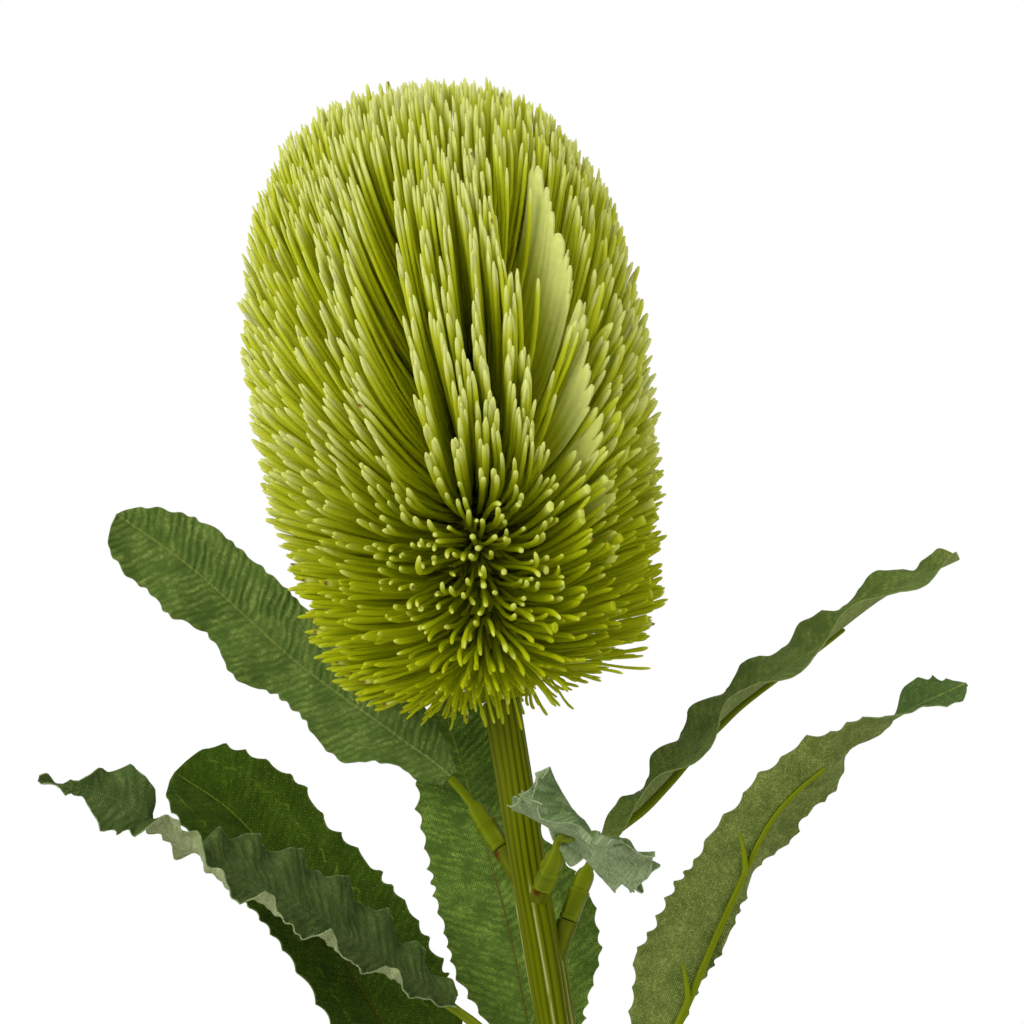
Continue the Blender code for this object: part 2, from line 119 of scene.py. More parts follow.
def turned(name: str, sides: int, outline: Sequence[Pair]) -> Piece:
    """Turns a closed piece about +Z.

    Args:
        name: The piece's name.
        sides: How many sides each ring has.
        outline: (radius, height) of each ring. The first and the last are capped.

    Returns:
        The piece, at the origin.
    """
    (radius, height), *others = outline
    clear_selection()
    bpy.ops.mesh.primitive_circle_add(vertices=sides, radius=radius, fill_type="NGON")
    piece = bpy.context.object
    piece.name = name
    bpy.ops.object.mode_set(mode="EDIT")
    bpy.ops.mesh.select_all(action="SELECT")
    bpy.ops.transform.translate(value=(0, 0, height))
    for next_radius, next_height in others:
        bpy.ops.mesh.extrude_region_move(
            TRANSFORM_OT_translate={"value": (0, 0, next_height - height)})
        grow = next_radius / radius
        bpy.ops.transform.resize(value=(grow, grow, 1), center_override=(0, 0, next_height))
        radius, height = next_radius, next_height
    bpy.ops.mesh.select_all(action="SELECT")
    bpy.ops.mesh.normals_make_consistent(inside=False)
    bpy.ops.object.mode_set(mode="OBJECT")
    return piece


def corner_array(piece: Piece) -> Array:
    """The places of a piece's corners, one row each.

    Args:
        piece: The piece to read.

    Returns:
        One row of x, y and z for each corner.
    """
    places = np.zeros(len(piece.data.vertices) * 3)
    piece.data.vertices.foreach_get("co", places)
    return places.reshape(-1, 3)


def set_corners(piece: Piece, places: Array) -> None:
    """Moves a piece's corners."""
    piece.data.vertices.foreach_set("co", places.astype(np.float32).ravel())
    piece.data.update()


def add_values(mesh: bpy.types.Mesh, **values: Array) -> None:
    """Stores named numbers, one or three at each corner of a mesh.

    Args:
        mesh: The mesh to store them in.
        **values: An array under each name.
    """
    for name, numbers in values.items():
        kind, key = ("FLOAT_VECTOR", "vector") if numbers.ndim == 2 else ("FLOAT", "value")
        place = mesh.attributes.new(name, kind, "POINT")
        place.data.foreach_set(key, numbers.astype(np.float32).ravel())


def join_to(piece: Piece, others: Sequence[Piece]) -> None:
    """Makes other pieces part of a piece.

    Args:
        piece: The piece that stays.
        others: The pieces that become part of it.
    """
    select_only(piece)
    for other in others:
        other.select_set(True)
    bpy.ops.object.join()


def polar(places: Array) -> tuple[Array, Array]:
    """The angle about +Z and the distance from it of each place."""
    return np.arctan2(places[:, 1], places[:, 0]), np.hypot(places[:, 0], places[:, 1])


def round_places(angle: Array, height: Array, radius: float = 1.0) -> Array:
    """Places on a cylinder about +Z."""
    return np.stack([np.cos(angle) * radius, np.sin(angle) * radius, height], axis=1)


def frame_at(place: Vector, along: Vector) -> Matrix:
    """A frame that stands at a place, with +Z along a direction."""
    return Matrix.Translation(place) @ along.to_track_quat("Z", "Y").to_matrix().to_4x4()


def carried(places: Array, matrix: Matrix) -> Array:
    """Places in a frame, as the world has them."""
    table = np.array(matrix)
    return places @ table[:3, :3].T + table[:3, 3]


@dataclass
class Shape:
    """Corners and faces of a small pattern piece, to be copied many times."""

    corners: Array
    faces: list[tuple[int, ...]]

    @classmethod
    def taken_from(cls, piece: Piece) -> "Shape":
        """Reads a pattern piece, and removes it.

        Args:
            piece: The pattern piece.

        Returns:
            Its corners and faces.
        """
        mesh = piece.data
        shape = cls(corner_array(piece), [tuple(face.vertices) for face in mesh.polygons])
        bpy.data.objects.remove(piece, do_unlink=True)
        bpy.data.meshes.remove(mesh)
        return shape


@dataclass
class Gathered:
    """Collects placed copies of shapes, and makes one mesh of them."""

    corners: list[Array] = field(default_factory=list)
    faces: list[tuple[int, ...]] = field(default_factory=list)
    values: dict[str, list[Array]] = field(default_factory=dict)
    count: int = 0

    def add(self, corners: Array, faces: Sequence[tuple[int, ...]],
            **values: Array) -> None:
        """Adds one or more copies that share a list of faces.

        Args:
            corners: (copies, corners, 3) places.
            faces: The faces of one copy.
            **values: Numbers for each corner, of shape (copies, corners) or with a
                last axis of three.
        """
        copies, size = corners.shape[:2]
        for copy in range(copies):
            start = self.count + copy * size
            self.faces.extend(tuple(start + i for i in face) for face in faces)
        self.count += copies * size
        self.corners.append(corners.reshape(-1, 3))
        for name, array in values.items():
            shape = (-1, 3) if array.ndim == 3 else (-1,)
            self.values.setdefault(name, []).append(array.reshape(shape))

    def piece(self, name: str) -> Piece:
        """Makes the collected copies into one named piece.

        Args:
            name: The piece's name.

        Returns:
            The piece, smooth shaded and linked to the scene.
        """
        mesh = bpy.data.meshes.new(name)
        mesh.from_pydata(np.vstack(self.corners).tolist(), [], self.faces)
        add_values(mesh, **{key: np.concatenate(arrays) for key, arrays in self.values.items()})
        mesh.shade_smooth()
        piece = bpy.data.objects.new(name, mesh)
        bpy.context.scene.collection.objects.link(piece)
        return piece


# Curves and gentle irregularity ---------------------------------------------------

def running_sums(steps: Array) -> Array:
    """The sums up to each step along the last axis, from nothing."""
    sums = np.cumsum(steps, axis=-1)
    return np.concatenate([np.zeros_like(sums[..., :1]), sums], axis=-1)


def step_lengths(points: Array) -> Array:
    """The length of each step along a line of points."""
    return np.linalg.norm(np.diff(points, axis=0), axis=1)


def evenly(points: Array, count: int) -> Array:
    """Evenly spaced points along a line of many short steps.

    Args:
        points: The line's points.
        count: How many points to return.

    Returns:
        One row for each point.
    """
    run = running_sums(step_lengths(points))
    wanted = np.linspace(0, run[-1], count)
    return np.stack([np.interp(wanted, run, column) for column in points.T], axis=1)


def smooth_line(points: Sequence[Sequence[float]], count: int, span_steps: int = 24) -> Array:
    """Evenly spaced points on a centripetal Catmull-Rom curve.

    Args:
        points: The points that the curve passes.
        count: How many points to return.
        span_steps: How finely each span is followed.

    Returns:
        One row for each point.
    """
    knots = np.array([tuple(p) for p in points], float)
    knots = np.vstack([2 * knots[0] - knots[1], knots, 2 * knots[-1] - knots[-2]])
    places = running_sums(step_lengths(knots) ** 0.5)
    fine = []
    for i in range(1, len(knots) - 2):
        last_span = i == len(knots) - 3
        for t in np.linspace(places[i], places[i + 1], span_steps, endpoint=last_span):
            row, times = list(knots[i - 1:i + 3]), places[i - 1:i + 3]
            for level, offset in ((1, 0), (2, 0), (1, 1)):
                row = [((times[k + level + offset] - t) * row[k] + (t - times[k + offset]) * row[k + 1])
                       / (times[k + level + offset] - times[k + offset]) for k in range(len(row) - 1)]
            fine.append(row[0])
    return evenly(np.array(fine), count)


def unit(vectors: Array) -> Array:
    """Vectors made one long, along the last axis."""
    return vectors / np.maximum(np.linalg.norm(vectors, axis=-1, keepdims=True), 1e-12)


def ease(values: Array, low: float, high: float) -> Array:
    """A smooth rise from 0 at low to 1 at high."""
    share = np.clip((np.asarray(values, float) - low) / (high - low), 0, 1)
    return share * share * (3 - 2 * share)


def bezier(share: Array, points: Sequence[Array]) -> Array:
    """Places on cubic curves, at shares of their way, from their four control points.

    Args:
        share: Shares from 0 to 1.
        points: The four control points of each curve.

    Returns:
        The places.
    """
    rest = 1 - share
    weights = (rest ** 3, 3 * rest ** 2 * share, 3 * rest * share ** 2, share ** 3)
    return sum(weight * point for weight, point in zip(weights, points))


class Drift:
    """A smooth, repeatable wander in up to two directions, between -1 and 1."""

    def __init__(self, seed: int, waves: int = 7) -> None:
        """Draws the wander's waves from a seed.

        Args:
            seed: What the waves are drawn from.
            waves: How many waves there are.
        """
        chance = np.random.default_rng(seed)
        self.turns = chance.normal(0, 1, (waves, 2))
        self.starts = chance.uniform(0, 2 * math.pi, waves)

    def __call__(self, first: Array, second: Array | float = 0.0) -> Array:
        """The wander at places that are one apart where it has changed well.

        Args:
            first: Places in the first direction.
            second: Places in the second direction.

        Returns:
            The wander at each place.
        """
        first, second = np.broadcast_arrays(np.asarray(first, float), second)
        total = sum(np.sin(2.2 * (a * first + b * second) + c)
                    for (a, b), c in zip(self.turns, self.starts))
        return total / math.sqrt(len(self.starts) * 2.0)


def fall(values: Array, low: float, high: float) -> Array:
    """A smooth fall from 1 at low to 0 at high."""
    return 1 - ease(values, low, high)


def hill(values: Array, middle: float, spread: float) -> Array:
    """A smooth hill, 1 at its middle, that dies away over a spread on both sides."""
    return np.exp(-((values - middle) / spread) ** 2)


class Route:
    """A smooth route with a frame that turns as little as it can along it."""

    def __init__(self, points: Array, beside: Triple = (0, 1, 0)) -> None:
        """Works out the frames.

        Args:
            points: Evenly spaced points, many of them.
            beside: About the direction of the first sideways vector.
        """
        self.points = points
        self.tangents = unit(np.gradient(points, axis=0))
        across = np.array(beside, float)
        self.across = np.zeros_like(points)
        for i, tangent in enumerate(self.tangents):
            across = across - across.dot(tangent) * tangent
            across /= np.linalg.norm(across)
            self.across[i] = across
        self.length = float(step_lengths(points).sum())

    def at(self, shares: Array) -> tuple[Array, Array, Array]:
        """The route at shares of its length.

        Args:
            shares: Shares from 0 to 1. The route runs on straight outside them.

        Returns:
            The place and the two directions across, for each share.
        """
        index = np.clip(shares, 0, 1) * (len(self.points) - 1)
        grid = np.arange(len(self.points))

        def look(table: Array) -> Array:
            """A table of vectors, read between its rows."""
            return np.stack([np.interp(index, grid, column) for column in table.T], axis=-1)

        tangent = unit(look(self.tangents))
        across = look(self.across)
        across = unit(across - (across * tangent).sum(-1, keepdims=True) * tangent)
        over = (shares - np.clip(shares, 0, 1)) * self.length
        place = look(self.points) + tangent * over[..., None]
        return place, across, np.cross(tangent, across)


# Line of the stem and of the head -------------------------------------------------

@dataclass(frozen=True)
class Axis:
    """The leaning axis of the stem, which turns a little upright in the head."""

    rim_x: float = -0.0083
    rim_z: float = 0.200
    lean: float = 0.164
    head_z: float = 0.349
    straightening: float = 0.26
    foot_z: float = 0.0069

    def place(self, z: float) -> Vector:
        """The axis at height z."""
        over = max(0.0, z - self.head_z)
        return Vector((self.rim_x - self.lean * (z - self.rim_z) + self.straightening * over ** 2, 0, z))

    def frame(self, z: float) -> Matrix:
        """The frame on the axis at height z, with +Z along it.

        Args:
            z: The height.

        Returns:
            The frame.
        """
        over = max(0.0, z - self.head_z)
        along = Vector((-self.lean + 2 * self.straightening * over, 0, 1))
        return frame_at(self.place(z), along)


AXIS = Axis()


# Shader nodes ---------------------------------------------------------------------

class NodeDesk:
    """Adds nodes to one tree and joins them."""

    def __init__(self, tree: bpy.types.NodeTree) -> None:
        """Takes the tree to work on."""
        self.tree = tree

    def add(self, kind: str, **settings: object) -> Node:
        """Adds a node and sets its properties.

        Args:
            kind: The node's type.
            **settings: Its properties.

        Returns:
            The node.
        """
        node = self.tree.nodes.new(kind)
        node.location = (180 * (len(self.tree.nodes) % 12), -220 * (len(self.tree.nodes) // 12))
        for name, value in settings.items():
            setattr(node, name, value)
        return node

    def feed(self, node: Node, **inputs: object) -> Node:
        """Sets or joins inputs. A name's underscores stand for spaces.

        Args:
            node: The node.
            **inputs: A value or an output for each input.

        Returns:
            The same node.
        """
        for name, value in inputs.items():
            socket = node.inputs[name.replace("_", " ")]
            self.put(socket, value)
        return node

    def put(self, socket: Socket, value: object) -> None:
        """Joins an output to a socket, or sets the socket's own value.

        Args:
            socket: The input.
            value: An output, or a plain value.
        """
        if isinstance(value, Socket):
            self.tree.links.new(value, socket)
        else:
            socket.default_value = value

    def math(self, operation: str, *values: object, clamp: bool = False) -> Socket:
        """The result of a Math node.

        Args:
            operation: What the node works out.
            *values: Its inputs.
            clamp: Whether the result is kept from 0 to 1.

        Returns:
            The result.
        """
        node = self.add("ShaderNodeMath", operation=operation, use_clamp=clamp)
        for socket, value in zip(node.inputs, values):
            self.put(socket, value)
        return node.outputs[0]

    def times(self, first: object, second: object) -> Socket:
        """The product of two values."""
        return self.math("MULTIPLY", first, second)

    def scaled(self, value: object, factor: object, added: object) -> Socket:
        """A value times a factor, with something added."""
        return self.math("MULTIPLY_ADD", value, factor, added)

    def apart(self, first: object, second: object) -> Socket:
        """How far two values are from each other."""
        return self.math("ABSOLUTE", self.math("SUBTRACT", first, second))

    def pair(self, first: object, second: object) -> Socket:
        """A vector of two values.

        Args:
            first: The first value.
            second: The second value.

        Returns:
            The vector.
        """
        node = self.add("ShaderNodeCombineXYZ")
        self.put(node.inputs[0], first)
        self.put(node.inputs[1], second)
        return node.outputs[0]

    def parts(self, vector: object) -> Sequence[Socket]:
        """The three values of a vector.

        Args:
            vector: The vector.

        Returns:
            Its x, y and z.
        """
        node = self.add("ShaderNodeSeparateXYZ")
        self.put(node.inputs[0], vector)
        return node.outputs

    def mix(self, share: object, first: object, second: object,
            blend: str = "MIX") -> Socket:
        """The result of mixing two colours.

        Args:
            share: How much of the second colour there is.
            first: The first colour.
            second: The second colour.
            blend: How the second is laid on the first.

        Returns:
            The colour.
        """
        node = self.add("ShaderNodeMix", data_type="RGBA", blend_type=blend, clamp_factor=True)
        self.put(node.inputs[0], share)
        self.put(node.inputs[6], first)
        self.put(node.inputs[7], second)
        return node.outputs[2]

    def ramp(self, value: object, stops: Sequence[tuple[float, Sequence[float]]]) -> Socket:
        """A Color Ramp with the given stops.

        Args:
            value: Where on the ramp to look.
            stops: The place and the colour of each stop.

        Returns:
            The colour.
        """
        node = self.add("ShaderNodeValToRGB")
        elements = node.color_ramp.elements
        while len(elements) < len(stops):
            elements.new(1.0)
        for element, (place, colour) in zip(elements, stops):
            element.position = place
            element.color = (*colour, 1.0) if len(colour) == 3 else colour
        self.put(node.inputs[0], value)
        return node.outputs[0]

    def span(self, value: object, low: float, high: float, start: float = 0.0,
             end: float = 1.0, smooth: bool = False) -> Socket:
        """A Map Range from low..high to start..end, clamped.

        Args:
            value: The value.
            low: Where the result starts.
            high: Where it ends.
            start: The result at low.
            end: The result at high.
            smooth: Whether it eases in and out.

        Returns:
            The result.
        """
        node = self.add("ShaderNodeMapRange",
                        interpolation_type="SMOOTHSTEP" if smooth else "LINEAR")
        for socket, part in zip(node.inputs, (value, low, high, start, end)):
            self.put(socket, part)
        return node.outputs[0]

    def noise(self, place: object, scale: object, detail: float = 3.0,
              roughness: float = 0.55) -> Socket:
        """The factor of a Noise Texture.

        Args:
            place: Where to look.
            scale: How fine it is.
            detail: How many finer layers it has.
            roughness: How strong those are.

        Returns:
            A value from 0 to 1, mostly near a half.
        """
        node = self.add("ShaderNodeTexNoise")
        self.feed(node, Vector=place, Scale=scale, Detail=detail, Roughness=roughness)
        return node.outputs["Factor" if "Factor" in node.outputs else "Fac"]

    def stored(self, name: str, output: str = "Fac") -> Socket:
        """A number stored in the mesh, or with "Vector" three of them."""
        return self.add("ShaderNodeAttribute", attribute_name=name).outputs[output]

    def object_place(self) -> Socket:
        """Object coordinates."""
        return self.add("ShaderNodeTexCoord").outputs["Object"]

    def cells(self, place: object, scale: float) -> Node:
        """A Voronoi Texture node."""
        return self.feed(self.add("ShaderNodeTexVoronoi", feature="F1"), Vector=place, Scale=scale)

    def bump(self, height: object, strength: float, distance: float) -> Socket:
        """The normal of a Bump node."""
        node = self.add("ShaderNodeBump")
        return self.feed(node, Height=height, Strength=strength, Distance=distance).outputs[0]

    def end(self, kind: str, share: object, first: Node, second: Node) -> None:
        """Mixes two shaders and joins them to the tree's output of a kind.

        Args:
            kind: The output node's type.
            share: How much of the second shader there is.
            first: The first shader.
            second: The second shader.
        """
        blend = self.add("ShaderNodeMixShader")
        self.put(blend.inputs[0], share)
        self.put(blend.inputs[1], first.outputs[0])
        self.put(blend.inputs[2], second.outputs[0])
        out = next(node for node in self.tree.nodes if node.type == kind)
        self.put(out.inputs["Surface"], blend.outputs[0])

    def seen_rays(self) -> Socket:
        """One for camera, glossy and transmission rays, and nothing for others.

        Returns:
            A value of 0 or 1.
        """
        path = self.add("ShaderNodeLightPath")
        total = self.math("ADD", path.outputs["Is Camera Ray"], path.outputs["Is Glossy Ray"])
        return self.math("ADD", total, path.outputs["Is Transmission Ray"], clamp=True)


def colour(red: int, green: int, blue: int) -> Colour:
    """A display colour of 0 to 255 as the linear colour that shaders use.

    Args:
        red: The red, from 0 to 255.
        green: The green.
        blue: The blue.

    Returns:
        Red, green, blue and an opacity of one.
    """
    def channel(value: int) -> float:
        """One channel, made linear."""
        share = value / 255
        return share / 12.92 if share <= 0.04045 else ((share + 0.055) / 1.055) ** 2.4

    return (channel(red), channel(green), channel(blue), 1.0)


def start_material(name: str) -> tuple[Material, NodeDesk, Node]:
    """A new material.

    Args:
        name: Its name.

    Returns:
        The material, a desk for its tree, and its Principled shader.
    """
    material = bpy.data.materials.new(name)
    material.use_nodes = True
    return material, NodeDesk(material.node_tree), material.node_tree.nodes["Principled BSDF"]


def start_group(name: str, inputs: dict[str, Optional[float]],
                outputs: Sequence[str]) -> tuple[NodeDesk, Node, Node]:
    """A new shader node group.

    Args:
        name: Its name.
        inputs: The default of each input, or nothing for a vector.
        outputs: The names of its outputs, which are numbers.

    Returns:
        A desk for its tree, its input node and its output node.
    """
    tree = bpy.data.node_groups.new(name, "ShaderNodeTree")
    for label, default in inputs.items():
        kind = "NodeSocketVector" if default is None else "NodeSocketFloat"
        socket = tree.interface.new_socket(name=label, in_out="INPUT", socket_type=kind)
        if default is not None:
            socket.default_value = default
    for label in outputs:
        tree.interface.new_socket(name=label, in_out="OUTPUT", socket_type="NodeSocketFloat")
    desk = NodeDesk(tree)
    return desk, desk.add("NodeGroupInput"), desk.add("NodeGroupOutput")


class SharedEffects:
    """The node groups that more than one finish places, each built once."""

    _groups: dict[str, bpy.types.NodeTree] = {}

    @classmethod
    def place(cls, desk: NodeDesk, name: str, **inputs: object) -> Sequence[Socket]:
        """Places a shared effect in a tree.

        Args:
            desk: The desk of the tree.
            name: "moulded grain" or "woven threads".
            **inputs: Its inputs, with underscores for spaces.

        Returns:
            The outputs of the group's node.
        """
        if name not in cls._groups:
            makers = {"moulded grain": cls._moulded_grain, "woven threads": cls._woven_threads}
            cls._groups[name] = makers[name]()
        node = desk.add("ShaderNodeGroup", node_tree=cls._groups[name])
        return desk.feed(node, **inputs).outputs

    @staticmethod
    def _moulded_grain() -> bpy.types.NodeTree:
        """Fine streaks and cloudy unevenness of moulded plastic.

        Returns:
            The group's tree.
        """
        desk, given, out = start_group(
            "moulded grain", {"Place": None, "Streak Scale": 3.0, "Cloud Scale": 1.0},
            ("Streaks", "Clouds", "Height"))
        place, streak_scale, cloud_scale = list(given.outputs)[:3]
        streaks = desk.noise(place, streak_scale, 4.0, 0.65)
        clouds = desk.noise(place, cloud_scale, 2.0, 0.5)
        desk.feed(out, Streaks=desk.span(streaks, 0.3, 0.7), Clouds=desk.span(clouds, 0.3, 0.7),
                  Height=desk.scaled(streaks, 0.7, desk.times(clouds, 0.3)))
        return desk.tree

    @staticmethod
    def _woven_threads() -> bpy.types.NodeTree:
        """A plain weave: threads that pass over and under each other.

        Returns:
            The group's tree.
        """
        desk, given, out = start_group(
            "woven threads", {"Place": None, "Pitch": 0.5, "Slack": 0.15},
            ("Height", "Crowns", "Thread"))
        place, pitch, slack = list(given.outputs)[:3]
        wander = desk.feed(desk.add("ShaderNodeTexNoise"), Vector=place, Scale=0.9, Detail=2.0)
        shifted = desk.add("ShaderNodeVectorMath", operation="MULTIPLY_ADD")
        for socket, value in zip(shifted.inputs, (wander.outputs["Color"], slack, place)):
            desk.put(socket, value)
        sheet = desk.parts(shifted.outputs[0])
        across, along = (desk.math("DIVIDE", sheet[k], pitch) for k in (0, 1))
        warp, weft = (desk.math("ABSOLUTE", desk.math("SINE", desk.times(run, math.pi)))
                      for run in (across, along))
        column, row = desk.math("FLOOR", across), desk.math("FLOOR", along)
        over = desk.math("FLOORED_MODULO", desk.math("ADD", column, row), 2.0)
        crossing = desk.times(warp, weft)
        shade = desk.add("ShaderNodeTexWhiteNoise", noise_dimensions="2D")
        desk.feed(shade, Vector=desk.pair(column, row))
        desk.feed(out, Thread=shade.outputs["Value"],
                  Height=desk.math("ADD", crossing, desk.times(desk.math("MINIMUM", warp, weft), 0.5)),
                  Crowns=desk.times(desk.math("POWER", crossing, 1.5), desk.span(over, 0.0, 1.0, 0.35)))
        return desk.tree


# Finishes -------------------------------------------------------------------------

@dataclass(frozen=True)
class BristleFinish:
    """Soft moulded plastic, pale at the tips and yellow-green down the shafts."""

    tip: Colour = colour(230, 235, 144)
    bud: Colour = colour(207, 214, 52)
    shaft: Colour = colour(197, 205, 10)
    deep: Colour = colour(198, 205, 8)
    low_tip: Colour = colour(220, 228, 104)
    low_bud: Colour = colour(180, 189, 8)
    low_shaft: Colour = colour(180, 190, 0)
    streak: Colour = colour(140, 148, 0)
    scorch: Colour = colour(120, 90, 30)
    fade_length: float = 40.0
    tone_shift: float = 2.2

    def material(self) -> Material:
        """Mixes the plastic by the stored values tip_mm, tone, level, scorch and grain.

        Returns:
            The material.
        """
        made, desk, shader = start_material("bristle_plastic_finish")
        tip_mm, level, tone = (desk.stored(name) for name in ("tip_mm", "level", "tone"))
        grain = SharedEffects.place(desk, "moulded grain", Place=desk.stored("grain", "Vector"),
                                    Streak_Scale=1.9, Cloud_Scale=0.7)
        fade = desk.scaled(desk.math("SUBTRACT", tone, 0.5), self.tone_shift, tip_mm)
        share = desk.span(fade, 0.0, self.fade_length)
        high = desk.ramp(share, [(0.0, self.tip), (0.05, self.tip), (0.14, self.bud),
                                 (0.34, self.shaft), (1.0, self.deep)])
        low = desk.ramp(share, [(0.0, self.low_tip), (0.025, self.low_tip), (0.08, self.low_bud),
                                (0.24, self.low_shaft), (0.6, self.low_shaft), (0.9, self.deep)])
        blend = desk.mix(desk.span(level, 0.18, 0.55, smooth=True), low, high)
        streaky = desk.mix(desk.times(grain["Streaks"], 0.35), blend, desk.mix(0.5, blend, self.streak))
        toned = desk.mix(desk.span(tone, 0.0, 1.0, 0.0, 0.22), streaky, desk.mix(0.6, streaky, self.bud))
        burnt = desk.times(desk.stored("scorch"), desk.span(tip_mm, 1.5, 0.5))
        desk.feed(shader, Base_Color=desk.mix(burnt, toned, self.scorch),
                  Roughness=desk.span(grain["Clouds"], 0.0, 1.0, 0.42, 0.62),
                  Normal=desk.bump(grain["Height"], 0.35, 0.0002), Specular_IOR_Level=0.12,
                  Subsurface_Weight=0.35, Subsurface_Radius=(1.0, 1.0, 0.25), Subsurface_Scale=0.0016)
        return made


@dataclass(frozen=True)
class RodFinish:
    """Moulded plastic of a stem or a leaf's spine, streaked along its length."""

    name: str
    ridge: Colour
    valley: Colour
    flash: Colour
    stain: Colour

    def material(self) -> Material:
        """Mixes the plastic by the stored values ridge, flash, stain and grain.

        Returns:
            The material.
        """
        made, desk, shader = start_material(self.name)
        grain = SharedEffects.place(desk, "moulded grain", Place=desk.stored("grain", "Vector"),
                                    Streak_Scale=1.6, Cloud_Scale=0.45)
        # Where the stored ridge is low the plastic takes the darker valley colour. This is painted shade in
        # the stem's grooves and between the sleeve's keels, and plain stripes on the nubs and along the bare
        # rib.
        base = desk.mix(desk.stored("ridge"), self.valley, self.ridge)
        streaky = desk.mix(desk.times(grain["Streaks"], 0.5), base, desk.mix(0.45, base, self.valley))
        clouded = desk.mix(desk.times(grain["Clouds"], 0.07), streaky,
                           desk.mix(0.4, streaky, self.flash))
        edged = desk.mix(desk.times(desk.stored("flash"), 0.8), clouded, self.flash)
        desk.feed(shader, Base_Color=desk.mix(desk.stored("stain"), edged, self.stain),
                  Roughness=desk.span(grain["Streaks"], 0.0, 1.0, 0.36, 0.56),
                  Normal=desk.bump(grain["Height"], 0.4, 0.0002), Specular_IOR_Level=0.03)
        return made


class ClothFace(Enum):
    """Which face of the leaf's cloth a finish is for."""

    TOP = "top"
    UNDERSIDE = "underside"
    CUT = "cut"


@dataclass
class ClothPlace:
    """What a leaf's print is laid out by.

    Attributes:
        sheet: The place on the flat cloth, in millimetres.
        run: The distance from the blade's base along the flat cloth.
        across: The share of the way from the midrib to the margin.
        along: The share of the way from the base to the tip.
        side_mm: The distance from the printed midrib.
        crowns: The crowns of the woven threads.
        cloudy: Broad unevenness.
        fine: Fine unevenness.
        ribs: Slanting side ribs.
        folded: The folds pressed in the cloth, in its bump and as painted shade in their hollows.
    """

    sheet: Socket
    run: Socket
    across: Socket
    along: Socket
    side_mm: Socket
    crowns: Socket
    cloudy: Socket
    fine: Socket
    ribs: Socket
    folded: Socket


